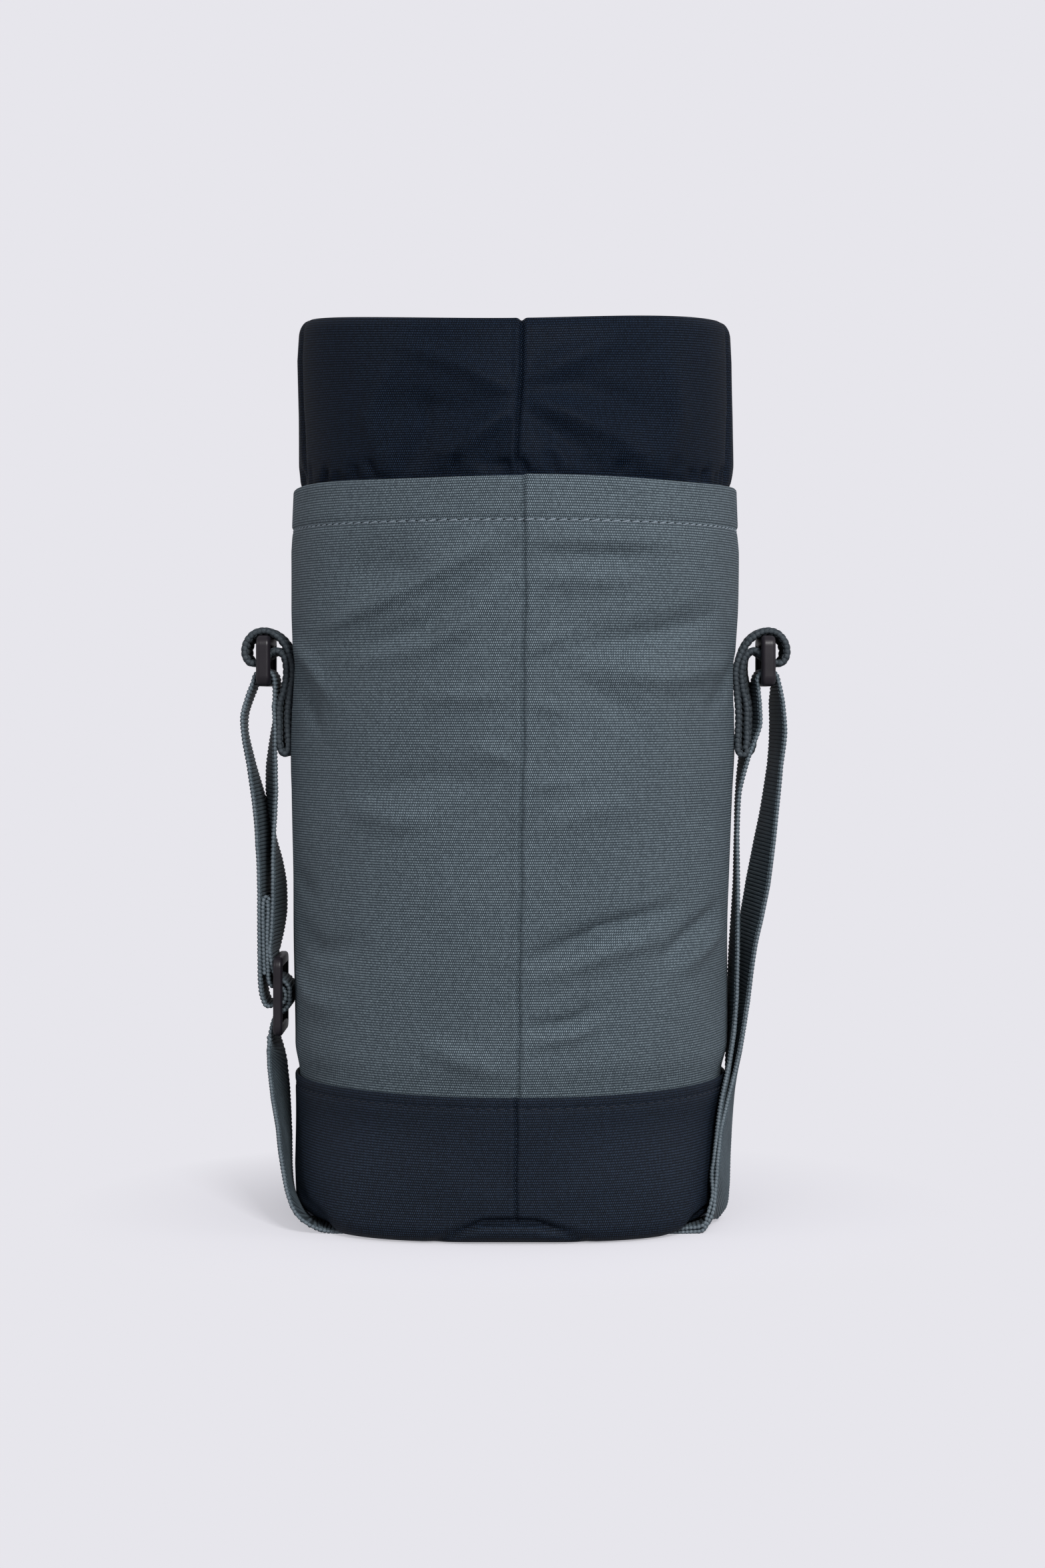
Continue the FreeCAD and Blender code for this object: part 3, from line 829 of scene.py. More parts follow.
@dataclass
class BagForm:
    """The bag's outline at each height, in millimetres from its axis."""

    levels: tuple[float, ...] = (0, 8, 20, 36, 54, 68, 110, 131, 165, 171, 235, 258, 281, 300)
    right: tuple[float, ...] = (77.8, 78.8, 79.8, 81.0, 82.6, 83.2, 84.5, 85.0, 85.3, 85.5, 87.0,
                                87.3, 86.6, 86.4)
    left: tuple[float, ...] = (84.0, 85.6, 86.4, 86.7, 87.0, 87.1, 87.0, 87.0, 87.2, 87.4, 88.2,
                               88.2, 87.2, 87.0)
    depth: tuple[float, ...] = (87.4, 87.2, 87.0, 86.8, 86.8, 87.0, 87.2, 87.4, 87.4, 87.4, 87.5,
                                87.5, 87.3, 87.0)
    square_foot: float = 3.0
    square_top: float = 44.0

    def radius(self, angle: np.ndarray, height: np.ndarray) -> np.ndarray:
        """The outline's radius.

        Args:
            angle: degrees from the front, the right side at 90.
            height: millimetres above the floor.

        Returns:
            Radii in millimetres.
        """
        turn = np.radians(angle)
        aside, ahead = np.sin(turn), np.cos(turn)
        half = np.where(aside >= 0, np.interp(height, self.levels, self.right),
                        np.interp(height, self.levels, self.left))
        deep = np.interp(height, self.levels, self.depth)
        power = self.square_foot - (self.square_foot - 2.0) * smooth(6.0, self.square_top, height)
        return (np.abs(aside / half) ** power + np.abs(ahead / deep) ** power) ** (-1 / power)


def seam_angles(count: int, seam: float, spread: float = 3.0, extra: int = 26) -> np.ndarray:
    """Column angles round the bag, closer together at the seam.

    Args:
        count: how many even columns.
        seam: the seam's angle in degrees.
        spread: half the width of the dense part, in degrees.
        extra: how many more columns the dense part has.

    Returns:
        Rising angles in degrees, over one full turn.
    """
    even = np.linspace(-180.0, 180.0, count, endpoint=False)
    even = even[np.abs(even - seam) > spread]
    dense = np.linspace(seam - spread, seam + spread, extra)
    return np.sort(np.concatenate([even, dense]))


def ripple(angle: np.ndarray, height: np.ndarray, size: float, seed: int, waves: int = 14) -> np.ndarray:
    """A gentle unevenness that closes on itself round the bag.

    Args:
        angle: degrees from the front.
        height: millimetres.
        size: its size in millimetres.
        seed: which unevenness.
        waves: how many waves are added up.

    Returns:
        Moves in millimetres.
    """
    draw = np.random.default_rng(seed)
    total = np.zeros(np.broadcast(angle, height).shape)
    for _ in range(waves):
        around = draw.integers(1, 9)
        upward = draw.uniform(-0.07, 0.07)
        total += np.sin(np.radians(angle) * around + height * upward + draw.uniform(0, 2 * math.pi))
    return total * size / math.sqrt(waves)


class ClothTube:
    """A tube of cloth round the bag's axis, made of an outer face, a folded edge and an inner face."""

    def radius(self, angle: np.ndarray, height: np.ndarray) -> np.ndarray:
        """The outer face's radius in millimetres."""
        raise NotImplementedError

    def lift(self, angle: np.ndarray, height: np.ndarray) -> np.ndarray:
        """The outer face's real height in millimetres, where the cloth is drawn up or down."""
        return height

    def place(self, angle: np.ndarray, height: np.ndarray, inset: np.ndarray | float = 0.0) -> np.ndarray:
        """Points of the cloth in metres.

        Args:
            angle: degrees from the front.
            height: millimetres above the floor, before the lift.
            inset: millimetres inwards from the outer face.

        Returns:
            The points, with one more axis of 3.
        """
        reach = (self.radius(angle, height) - inset) * MM
        turn = np.radians(angle)
        up = self.lift(angle, height) * MM
        return np.stack([reach * np.sin(turn), -reach * np.cos(turn), up], axis=-1)

    def topstitch(self, name: str, height: float, proud: float, thread: bpy.types.Material,
                  size: BeadSize, shift: float = 0.0) -> bpy.types.Object:
        """A row of stitches all round the outer face.

        Args:
            name: the piece's name.
            height: the row's height in millimetres.
            proud: millimetres that it stands off the cloth.
            thread: its material.
            size: the stitch.
            shift: degrees that the row is moved along.

        Returns:
            The stitches.
        """
        ring = np.linspace(-180, 180, STITCH_SAMPLES, endpoint=False) + shift
        turn = np.radians(ring)
        points = self.place(ring, np.full_like(ring, height), -proud)
        outs = np.stack([np.sin(turn), -np.cos(turn), np.zeros_like(turn)], axis=-1)
        return Trim.lay(name, [Line(points, outs, closed=True)], Bead.THREAD, thread, size)

    def cloth(self, name: str, angles: np.ndarray, profile: Sequence[tuple[float, float]],
              material: bpy.types.Material) -> bpy.types.Object:
        """The tube as a closed skin.

        Args:
            name: the piece's name.
            angles: the column angles in degrees.
            profile: (height, inset) pairs in millimetres, up the outside and down the inside.
            material: the cloth.

        Returns:
            The piece.
        """
        rows = np.array(profile)
        angle, height = np.meshgrid(angles, rows[:, 0])
        inset = np.repeat(rows[:, 1:2], len(angles), axis=1)
        points = self.place(angle, height, inset)
        steps = np.hypot(np.diff(rows[:, 0], append=rows[0, 0]), np.diff(rows[:, 1], append=rows[0, 1]))
        rise = np.concatenate([[0.0], np.cumsum(steps)]) + rows[0, 0]
        mean = float(np.mean(self.radius(angles, np.full_like(angles, rows[len(rows) // 4, 0]))))
        spread = np.radians(np.append(angles, angles[0] + 360.0)) * mean
        across, up = np.meshgrid(spread, rise)
        return woven(name, points, np.stack([across, up], axis=-1) * MM, material)


def rounded_top(top: float, wall: float, steps: int = 7) -> list[tuple[float, float]]:
    """(height, inset) pairs over a folded edge of cloth.

    Args:
        top: the edge's height in millimetres.
        wall: the thickness there.
        steps: how many points.

    Returns:
        The pairs, from outside to inside.
    """
    half = wall / 2
    turns = np.linspace(0.0, math.pi, steps)
    return [(top - half + half * math.sin(t), half - half * math.cos(t)) for t in turns]


def gathers(edge: float, reach: float, depth: float, spacing: float, seed: int) -> tuple[Fold, ...]:
    """Small puckers that run up from a seam all round the bag.

    Args:
        edge: the seam's height in millimetres.
        reach: how far up they run.
        depth: how deep they are.
        spacing: degrees from one to the next.
        seed: which random choice.

    Returns:
        The folds.
    """
    draw = np.random.default_rng(seed)
    made, angle = [], -179.0
    while angle < 179.0:
        lean = draw.uniform(-2.5, 2.5)
        tall = reach * draw.uniform(0.5, 1.3)
        made.append(Fold(((angle, edge), (angle + lean, edge + tall)),
                         -depth * draw.uniform(0.3, 1.2), draw.uniform(1.6, 3.6)))
        angle += spacing * draw.uniform(0.5, 1.6)
    return tuple(made)


@dataclass(frozen=True)
class SeamDip:
    """The valley that a sewn seam pulls into cloth, with a low bank on each side, in millimetres."""

    depth: float
    half: float
    bank: float
    bank_at: float
    bank_half: float

    def move(self, apart: np.ndarray) -> np.ndarray:
        """The outward moves at these distances from the seam."""
        banks = self.bank * np.exp(-(((np.abs(apart) - self.bank_at) / self.bank_half) ** 2))
        return -self.depth * np.exp(-((apart / self.half) ** 2)) + banks


def groove(height: np.ndarray, line: float, depth: float) -> np.ndarray:
    """The outward moves, in millimetres, where a row of stitches sinks into the cloth at a height."""
    return -depth * np.exp(-(((height - line) / GROOVE_HALF) ** 2))


def off_seam(angle: np.ndarray, seam: np.ndarray, radius: float) -> np.ndarray:
    """Millimetres round the bag from the seam, for angles in degrees and a radius in millimetres."""
    return (angle - seam) * math.pi / 180 * radius


def set_in(piece: bpy.types.Object, slot: str, body: str, *nodes: str) -> None:
    """Gives a piece its place in the part.

    Args:
        piece: the piece.
        slot: not used.
        body: the body that it moves with.
        nodes: the CAD nodes that it stands for.
    """
    if nodes:
        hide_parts(*nodes)
    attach(piece, body)


# ---------------------------------------------------------------- shell


SHELL_FOLDS = (
    Fold(((-55, 226), (-37, 234.5), (-22, 244), (-7, 258)), 1.5, 4.5, 3.0),
    Fold(((-42, 219), (-22, 226), (-12, 240), (-1, 253)), -1.5, 5.0),
    Fold(((-42, 214), (-22, 220), (-12, 228), (-2, 246)), 1.2, 4.0),
    Fold(((-44, 248), (-31, 249), (-22, 243)), -1.2, 7.0),
    Fold(((4, 259), (21, 259), (44, 259)), 0.7, 4.0),
    Fold(((4, 252.5), (38, 253)), -0.8, 4.0),
    Fold(((4, 244.5), (30, 245)), 1.0, 4.5),
    Fold(((17, 219), (36, 223.5), (59, 231)), -1.9, 6.0, 4.0),
    Fold(((3, 217.5), (14, 225.5)), 0.9, 3.2),
    Fold(((21, 211), (40, 208), (68, 214)), 1.4, 5.0),
    Fold(((14, 207), (21, 202), (32, 192)), -0.9, 5.0),
    Fold(((-24, 201), (-1, 201)), 0.7, 3.4),
    Fold(((4, 199), (12, 195)), 0.7, 3.0),
    Fold(((-9.5, 181.5), (0, 178)), 0.8, 3.2),
    Fold(((-44, 159), (-29, 155), (-20, 157)), 1.0, 5.0),
    Fold(((-40, 165), (-22, 171), (-5, 170.5)), -0.8, 5.0),
    Fold(((4, 168), (17, 170.5)), 0.5, 3.0),
    Fold(((7, 153), (19, 159.5), (32, 160.5)), 0.6, 4.0),
    Fold(((4, 104.5), (21, 115), (44, 122.5)), -1.8, 3.4),
    Fold(((6, 98), (26, 108), (40, 112.5)), 1.2, 4.0),
    Fold(((38, 102), (50, 112), (65, 121)), -1.3, 3.6),
    Fold(((44, 98), (58, 106), (70, 112)), 1.0, 3.6),
    Fold(((3, 79.5), (14, 81.5), (21, 87)), -1.2, 2.6),
    Fold(((3, 73.5), (14, 76.5), (19, 81)), 0.9, 3.0),
    Fold(((-23, 73), (-12, 66.5), (-2, 59.5)), 1.1, 4.5),
    Fold(((-74, 112), (-58, 104), (-40, 108)), -0.9, 5.0),
    Fold(((-80, 96), (-66, 86), (-48, 84)), 1.0, 5.0),
    Fold(((-78, 134), (-62, 126)), -0.8, 4.0),
    Fold(((-60, 190), (-70, 206), (-80, 214)), -1.2, 5.0),
    Fold(((-52, 200), (-64, 214), (-78, 222)), 1.0, 4.0),
    Fold(((60, 196), (70, 204), (80, 214)), -1.0, 5.0),
    Fold(((-90, 196), (-90, 207), (-90, 218)), -2.2, 9.0),
    Fold(((90, 196), (90, 207), (90, 218)), -2.2, 9.0),
    Fold(((100, 214), (122, 226), (146, 232)), 1.4, 5.0),
    Fold(((100, 206), (120, 214), (150, 214)), -1.4, 5.0),
    Fold(((-100, 214), (-124, 224), (-150, 238)), 1.4, 5.0),
    Fold(((-102, 205), (-126, 212), (-152, 224)), -1.4, 5.5),
    Fold(((150, 176), (172, 170), (195, 178)), -1.0, 6.0),
    Fold(((120, 118), (150, 108), (176, 116)), -1.3, 5.0),
    Fold(((124, 110), (150, 100), (172, 106)), 1.1, 5.0),
    Fold(((-172, 150), (-150, 142), (-122, 150)), 1.2, 6.0),
    Fold(((-166, 84), (-140, 92), (-118, 84)), -1.2, 5.0),
    Fold(((100, 70), (126, 82), (150, 76)), 1.0, 6.0),
)


@dataclass
class Shell(ClothTube):
    """The grey-green body with its turned-in hem and one upright seam at the front."""

    form: BagForm
    finishes: Finishes
    hem_depth: float = 16.2
    wall: float = 1.2
    hem_wall: float = 2.2
    seam_top: float = 2.1
    seam_foot: float = 0.6
    seam_dip: SeamDip = SeamDip(depth=1.25, half=0.75, bank=0.35, bank_at=2.0, bank_half=1.3)
    tuck: float = 1.9
    tuck_ramp: tuple[float, float] = (54.0, 66.0)
    fold_gain: float = 2.1
    fold_ramp: tuple[float, float] = (56.0, 70.0)
    hem_drop: tuple[float, float] = (26.0, 14.0)
    hem_calm: float = 0.85
    lap: float = 0.35
    lap_step: float = 0.5
    hem_wave: float = 0.35
    groove: float = 0.55
    columns: int = 300
    rows: int = 176
    inner_rows: int = 46
    stitch: BeadSize = BeadSize(pitch=4.2 * MM, length=3.5 * MM, width=0.75 * MM, height=0.7 * MM,
                                slant=0.16, stray=0.1)
    # The dark beads at the needle holes, between the stitches, are painted shade.
    needle_hole_shade: BeadSize = BeadSize(pitch=4.2 * MM, length=1.5 * MM, width=1.0 * MM, height=0.55 * MM)
    foot: float = field(init=False)
    top: float = field(init=False)

    def __post_init__(self) -> None:
        """Takes the heights from the frame."""
        low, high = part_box("shell_panel")
        self.foot = low[2] / MM
        self.top = high[2] / MM

    def seam(self, height: np.ndarray) -> np.ndarray:
        """The seam's angle in degrees at a height.

        Args:
            height: millimetres above the floor.

        Returns:
            Angles in degrees.
        """
        share = np.clip((height - self.foot) / (self.top - self.foot), 0.0, 1.0)
        wander = 0.12 * np.sin(height / 9.0) + 0.08 * np.sin(height / 4.1 + 1.0)
        return self.seam_foot + (self.seam_top - self.seam_foot) * smooth(0.0, 0.9, share) + wander

    def radius(self, angle: np.ndarray, height: np.ndarray) -> np.ndarray:
        """The outer face's radius in millimetres.

        Args:
            angle: degrees from the front.
            height: millimetres above the floor.

        Returns:
            Radii in millimetres.
        """
        base = self.form.radius(angle, height) - self.tuck * (1 - smooth(*self.tuck_ramp, height))
        near_hem = smooth(*(self.top - drop for drop in self.hem_drop), height)
        calm = smooth(*self.fold_ramp, height) * (1 - self.hem_calm * near_hem)
        drift = sum(fold.lift(angle, height, BAG_RADIUS) for fold in SHELL_FOLDS)
        drift = drift + ripple(angle, height, size=0.35, seed=3)
        slack = ripple(angle, height * 1.7, size=0.12, seed=9, waves=20)
        apart = off_seam(angle, self.seam(height), BAG_RADIUS)
        fade = np.exp(-apart / 12 * (apart > 0)) * smooth(255, 268, height)
        lap = self.lap * smooth(-0.3, 0.3, apart) * fade
        hem_line = self.top - self.hem_depth
        hem = self.lap * smooth(hem_line, hem_line + 2.0, height)
        return (base + (self.fold_gain * drift + slack) * calm + self.seam_dip.move(apart) + lap
                + groove(height, hem_line, self.groove) + hem)

    def lift(self, angle: np.ndarray, height: np.ndarray) -> np.ndarray:
        """The hem's edge steps by a little where the seam laps.

        Args:
            angle: degrees from the front.
            height: millimetres above the floor.

        Returns:
            The real heights in millimetres.
        """
        past = smooth(-0.6, 0.6, angle - self.seam(height))
        step = self.lap_step * past * np.exp(-np.abs(angle) / 30)
        fade = np.exp(-((np.abs(angle) - 60) / 90) ** 2)
        wave = self.hem_wave * np.sin(np.radians(angle) * 5 + 0.6) * fade
        return height + (step + wave) * smooth(self.top - 20, self.top, height)

    def build(self) -> list[bpy.types.Object]:
        """Makes the shell, its stitches and the dark beads of painted shade at its needle holes.

        Returns:
            The pieces.
        """
        angles = seam_angles(self.columns, (self.seam_top + self.seam_foot) / 2)
        outside = [(z, 0.0) for z in np.linspace(self.foot, self.top - self.hem_wall / 2, self.rows)][:-1]
        over = rounded_top(self.top, self.hem_wall)
        inside = [(z, self.hem_wall if z > self.top - self.hem_depth else self.wall)
                  for z in np.linspace(self.top - self.hem_wall / 2, self.foot, self.inner_rows)[1:]]
        cloth = self.cloth("shell_cloth", angles, outside + over + inside, self.finishes.shell)
        set_in(cloth, "shell_fabric", "bag", "shell_panel")
        hem_line = self.top - self.hem_depth
        stitches = self.topstitch("hem_stitches", hem_line, 0.12, self.finishes.pale_thread, self.stitch)
        # Dark beads half a stitch along from the stitches, sunk a little into the cloth: painted shade in
        # the needle holes.
        shift = float(np.degrees(self.stitch.pitch / 2 / (BAG_RADIUS * MM)))
        holes = self.topstitch("hem_needle_holes", hem_line, -0.08, self.finishes.needle_hole_shade,
                               self.needle_hole_shade, shift)
        for piece in (stitches, holes):
            set_in(piece, "shell_fabric", "bag")
        return [cloth, stitches, holes]


# ---------------------------------------------------------------- collar


COLLAR_FOLDS = (
    Fold(((0.5, 314), (-14, 326), (-34, 336)), 1.1, 4.0),
    Fold(((-2, 312), (-16, 308), (-40, 312)), -1.0, 6.0),
    Fold(((-1, 309), (-11, 297), (-20, 286)), 1.3, 4.0),
    Fold(((-1, 304), (-6, 292), (-9, 284)), -1.1, 3.4),
    Fold(((3, 309), (10, 299), (20, 288)), -1.0, 4.4),
    Fold(((3, 312), (14, 306), (28, 296), (36, 286)), 1.3, 4.6),
    Fold(((3, 316), (16, 318), (38, 306)), -0.9, 6.0),
    Fold(((3, 318), (14, 328), (32, 338)), 0.8, 5.0),
    Fold(((-34, 326), (-40, 306), (-34, 284)), 1.0, 5.0),
    Fold(((-26, 318), (-24, 300), (-28, 284)), -1.2, 5.0),
    Fold(((44, 330), (46, 306), (40, 284)), 0.9, 6.0),
    Fold(((-76, 343), (-77, 312), (-74, 284)), -1.6, 3.4),
    Fold(((77, 343), (78, 312), (75, 284)), -1.4, 3.4),
    Fold(((-100, 342), (-104, 312), (-100, 284)), -1.4, 4.0),
    Fold(((104, 342), (102, 312), (106, 284)), -1.2, 4.0),
    Fold(((-150, 336), (-140, 312), (-152, 286)), 1.1, 6.0),
    Fold(((160, 330), (150, 306), (158, 286)), -1.2, 6.0),
)


@dataclass
class Collar(ClothTube):
    """The navy throat that stands out of the hem, folded at its top edge."""

    form: BagForm
    finishes: Finishes
    wall: float = 1.8
    seam_dip: SeamDip = SeamDip(depth=1.3, half=0.8, bank=0.3, bank_at=2.0, bank_half=1.2)
    pinch: float = 1.6
    pinch_height: float = 313.0
    side_rise: float = 2.6
    front_dip: float = 4.0
    fold_gain: float = 1.9
    pucker_depth: float = 2.1
    roll: float = 1.6
    roll_height: float = 4.0
    levels: tuple[float, ...] = (262, 281, 285, 291, 310, 330, 340, 346)
    right: tuple[float, ...] = (83.0, 83.2, 84.3, 85.0, 84.9, 84.5, 83.9, 82.6)
    left: tuple[float, ...] = (83.6, 83.9, 85.0, 85.6, 85.6, 85.9, 85.2, 83.8)
    depth: tuple[float, ...] = (83.4, 83.5, 84.3, 84.2, 82.0, 79.0, 77.5, 76.0)
    columns: int = 280
    rows: int = 104
    inner_rows: int = 40
    shell_top: float = field(init=False)
    foot: float = field(init=False)
    top: float = field(init=False)
    puckers: tuple[Fold, ...] = field(init=False)

    def __post_init__(self) -> None:
        """Takes the heights from the frame."""
        self.shell_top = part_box("shell_panel")[1][2] / MM
        low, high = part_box("collar_panel")
        self.foot = low[2] / MM
        self.top = high[2] / MM
        self.puckers = gathers(self.shell_top, reach=8.0, depth=self.pucker_depth, spacing=6.0, seed=21)

    def seam(self, height: np.ndarray) -> np.ndarray:
        """The seam's angle in degrees at a height."""
        return 0.3 + 1.6 * smooth(self.shell_top, self.top, height) + 0.1 * np.sin(height / 7.0)

    def radius(self, angle: np.ndarray, height: np.ndarray) -> np.ndarray:
        """The outer face's radius in millimetres.

        Args:
            angle: degrees from the front.
            height: millimetres above the floor.

        Returns:
            Radii in millimetres.
        """
        turn = np.radians(angle)
        aside, ahead = np.sin(turn), np.cos(turn)
        half = np.where(aside >= 0, np.interp(height, self.levels, self.right),
                        np.interp(height, self.levels, self.left))
        deep = np.interp(height, self.levels, self.depth)
        power = 2.0 + 0.22 * smooth(self.shell_top, self.top, height)
        base = (np.abs(aside / half) ** power + np.abs(ahead / deep) ** power) ** (-1 / power)
        calm = smooth(self.shell_top - 2, self.shell_top + 5, height)
        drift = sum(fold.lift(angle, height, COLLAR_RADIUS) for fold in COLLAR_FOLDS)
        drift = drift + ripple(angle, height, size=0.25, seed=5)
        puckers = sum(fold.lift(angle, height, COLLAR_RADIUS) for fold in self.puckers)
        puckers = puckers * smooth(self.shell_top - 4, self.shell_top, height)
        apart = off_seam(angle, self.seam(height), 82.0)
        pinch = -self.pinch * np.exp(-((apart / 5.0) ** 2) - ((height - self.pinch_height) / 7.0) ** 2)
        rolled = np.clip((height - (self.top - self.roll_height)) / self.roll_height, 0, 1) ** 2.2
        return (base + self.fold_gain * drift * calm + puckers + (self.seam_dip.move(apart) + pinch) * calm
                - self.roll * rolled)

    def lift(self, angle: np.ndarray, height: np.ndarray) -> np.ndarray:
        """The mouth dips at the front and the back and stands up at the sides.

        Args:
            angle: degrees from the front.
            height: millimetres above the floor.

        Returns:
            The real heights in millimetres.
        """
        side = np.sin(np.radians(angle)) ** 2
        dip = self.side_rise * side - self.front_dip * (1 - side) + 0.5 * np.sin(np.radians(angle) * 3 + 0.8)
        notch = -0.9 * np.exp(-((angle - self.seam(height)) / 0.9) ** 2)
        return height + (dip + notch) * smooth(self.shell_top + 4, self.top, height)

    def build(self) -> list[bpy.types.Object]:
        """Makes the collar.

        Returns:
            The piece.
        """
        angles = seam_angles(self.columns, 1.1)
        outside = [(z, 0.0) for z in np.linspace(self.foot, self.top - self.wall / 2, self.rows)][:-1]
        inside = [(z, self.wall)
                  for z in np.linspace(self.top - self.wall / 2, self.foot, self.inner_rows)[1:]]
        # The collar takes the darker copy of the navy cloth: painted shade.
        cloth = self.cloth("collar_cloth", angles, outside + rounded_top(self.top, self.wall) + inside,
                           self.finishes.throat)
        set_in(cloth, "dark_fabric", "collar", "collar_panel")
        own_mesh(cloth)
        return [cloth]


# ---------------------------------------------------------------- base


BASE_FOLDS = (
    Fold(((-21, 0.5), (-13, 5.0), (-8, 8.3), (0, 8.6), (5, 8.2), (12, 5.0), (18.5, 0.5)), -3.6, 1.25),
    Fold(((-16, 1.5), (-8, 4.2), (5, 4.2), (14, 1.5)), 0.8, 2.6),
    Fold(((38, -1), (46, 2.5), (52, 6.0), (58, 6.5)), -2.2, 1.4),
    Fold(((-28, 30), (-12, 20), (0, 14)), 0.6, 6.0),
    Fold(((26, 24), (12, 18), (4, 12)), 0.5, 5.0),
    Fold(((-62, 14), (-50, 6), (-42, 3)), -1.0, 2.5),
    Fold(((120, 22), (134, 12), (146, 10)), -1.2, 4.0),
    Fold(((-120, 24), (-140, 14), (-156, 12)), -1.2, 4.0),
)


@dataclass
class Base(ClothTube):
    """The navy band round the foot, the bottom panel and what lies inside on it."""

    form: BagForm
    finishes: Finishes
    wall: float = 1.4
    columns: int = 300
    seam_dip: SeamDip = SeamDip(depth=1.2, half=0.7, bank=0.3, bank_at=1.9, bank_half=1.2)
    seam_angle: float = 0.1
    stitch: BeadSize = BeadSize(pitch=4.4 * MM, length=3.3 * MM, width=0.7 * MM, height=0.6 * MM,
                                slant=0.1, stray=0.08)
    stitch_drop: float = 4.2
    groove: float = 0.5
    channel_rise: float = 3.0
    channel_slope: float = 6.0
    strap_back: float = field(init=False)
    strap_half: float = field(init=False)
    top: float = field(init=False)

    def __post_init__(self) -> None:
        """Takes the heights from the frame."""
        self.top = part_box("base_wall")[1][2] / MM
        low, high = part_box("strap_under_run")
        self.strap_back = (low[1] + high[1]) / 2 / MM
        self.strap_half = (high[1] - low[1]) / 2 / MM

    def seam(self, height: np.ndarray) -> np.ndarray:
        """The seam's angle in degrees at a height."""
        return self.seam_angle + 0.1 * np.sin(height / 5.0)

    def radius(self, angle: np.ndarray, height: np.ndarray) -> np.ndarray:
        """The outer face's radius in millimetres.

        Args:
            angle: degrees from the front.
            height: millimetres above the floor.

        Returns:
            Radii in millimetres.
        """
        base = self.form.radius(angle, height)
        drift = sum(fold.lift(angle, height, BAG_RADIUS) for fold in BASE_FOLDS)
        drift = drift + ripple(angle, height, size=0.28, seed=15) * smooth(2, 14, height)
        valley = self.seam_dip.move(off_seam(angle, self.seam(height), BAG_RADIUS)) * smooth(6, 12, height)
        return base + drift + valley + groove(height, self.top - self.stitch_drop, self.groove)

    def lift(self, angle: np.ndarray, height: np.ndarray) -> np.ndarray:
        """The foot stands on the strap where that runs under it.

        Args:
            angle: degrees from the front.
            height: millimetres above the floor.

        Returns:
            The real heights in millimetres.
        """
        turn = np.radians(angle)
        back = -self.form.radius(angle, height) * np.cos(turn)
        apart = np.abs(back - self.strap_back)
        channel = 1 - smooth(self.strap_half, self.strap_half + self.channel_slope, apart)
        return height + self.channel_rise * channel * (1 - smooth(2.0, 14.0, height))

    def bottom(self, name: str, radius: float, low: float, wall: float,
               channel: float) -> bpy.types.Object:
        """A thin round panel across the bag.

        Args:
            name: the piece's name.
            radius: its radius in millimetres.
            low: the height of its lower face.
            wall: its thickness.
            channel: how far it is raised over the strap.

        Returns:
            The piece.
        """
        angles = np.linspace(-180, 180, 120, endpoint=False)
        share = np.concatenate([[0.003], np.linspace(0.04, 1.0, 30)])
        spans = np.concatenate([share, share[::-1]])
        angle, span = np.meshgrid(angles, spans)
        turn = np.radians(angle)
        reach = span * radius * self.form.radius(angle, np.zeros_like(angle)) / BAG_RADIUS
        x, y = reach * np.sin(turn), -reach * np.cos(turn)
        upper = np.repeat((np.arange(len(spans)) >= len(share))[:, None], len(angles), axis=1)
        swell = 0.5 * (1 - span ** 2) + ripple(angle, span * 90, size=0.14, seed=33) * span
        apart = np.abs(y - self.strap_back)
        edge = self.strap_half + 0.5
        over = channel * (1 - smooth(edge, edge + self.channel_slope, apart))
        z = low + swell + over + wall * upper
        points = np.stack([x, y, z], axis=-1) * MM
        flat = np.zeros((len(spans) + 1, len(angles) + 1, 2))
        flat[:-1, :-1] = points[..., :2]
        flat[-1], flat[:, -1] = flat[0], flat[:, 0]
        return woven(name, points, flat, self.finishes.navy)

    def tape_ring(self, name: str, node: str) -> bpy.types.Object:
        """The folded tape over a round seam.

        Args:
            name: the piece's name.
            node: the CAD node that it stands for.

        Returns:
            The piece.
        """
        low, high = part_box(node)
        reach, foot, top = high[0] / MM, low[2] / MM, high[2] / MM
        angles = np.linspace(-180, 180, 200, endpoint=False)
        tall = top - foot
        profile = [(0.0, 0.25), (0.4, 0.0), (tall - 0.4, 0.0), (tall, 0.4), (tall, 1.3),
                   (tall - 0.5, 1.7), (0.5, 1.7), (0.0, 1.4)]
        rows = np.array(profile)
        angle, height = np.meshgrid(angles, rows[:, 0])
        inset = np.repeat(rows[:, 1:2], len(angles), axis=1)
        radius = reach - inset + 0.15 * np.sin(np.radians(angle) * 23)
        turn = np.radians(angle)
        points = np.stack([radius * np.sin(turn), -radius * np.cos(turn), foot + height], axis=-1) * MM
        along, up = np.meshgrid(np.radians(np.append(angles, 180.0)) * reach, np.arange(len(rows) + 1) * 1.2)
        band = woven(name, points, np.stack([up, along], axis=-1) * MM, self.finishes.tape)
        set_in(band, "binding_tape", "bag", node)
        return band

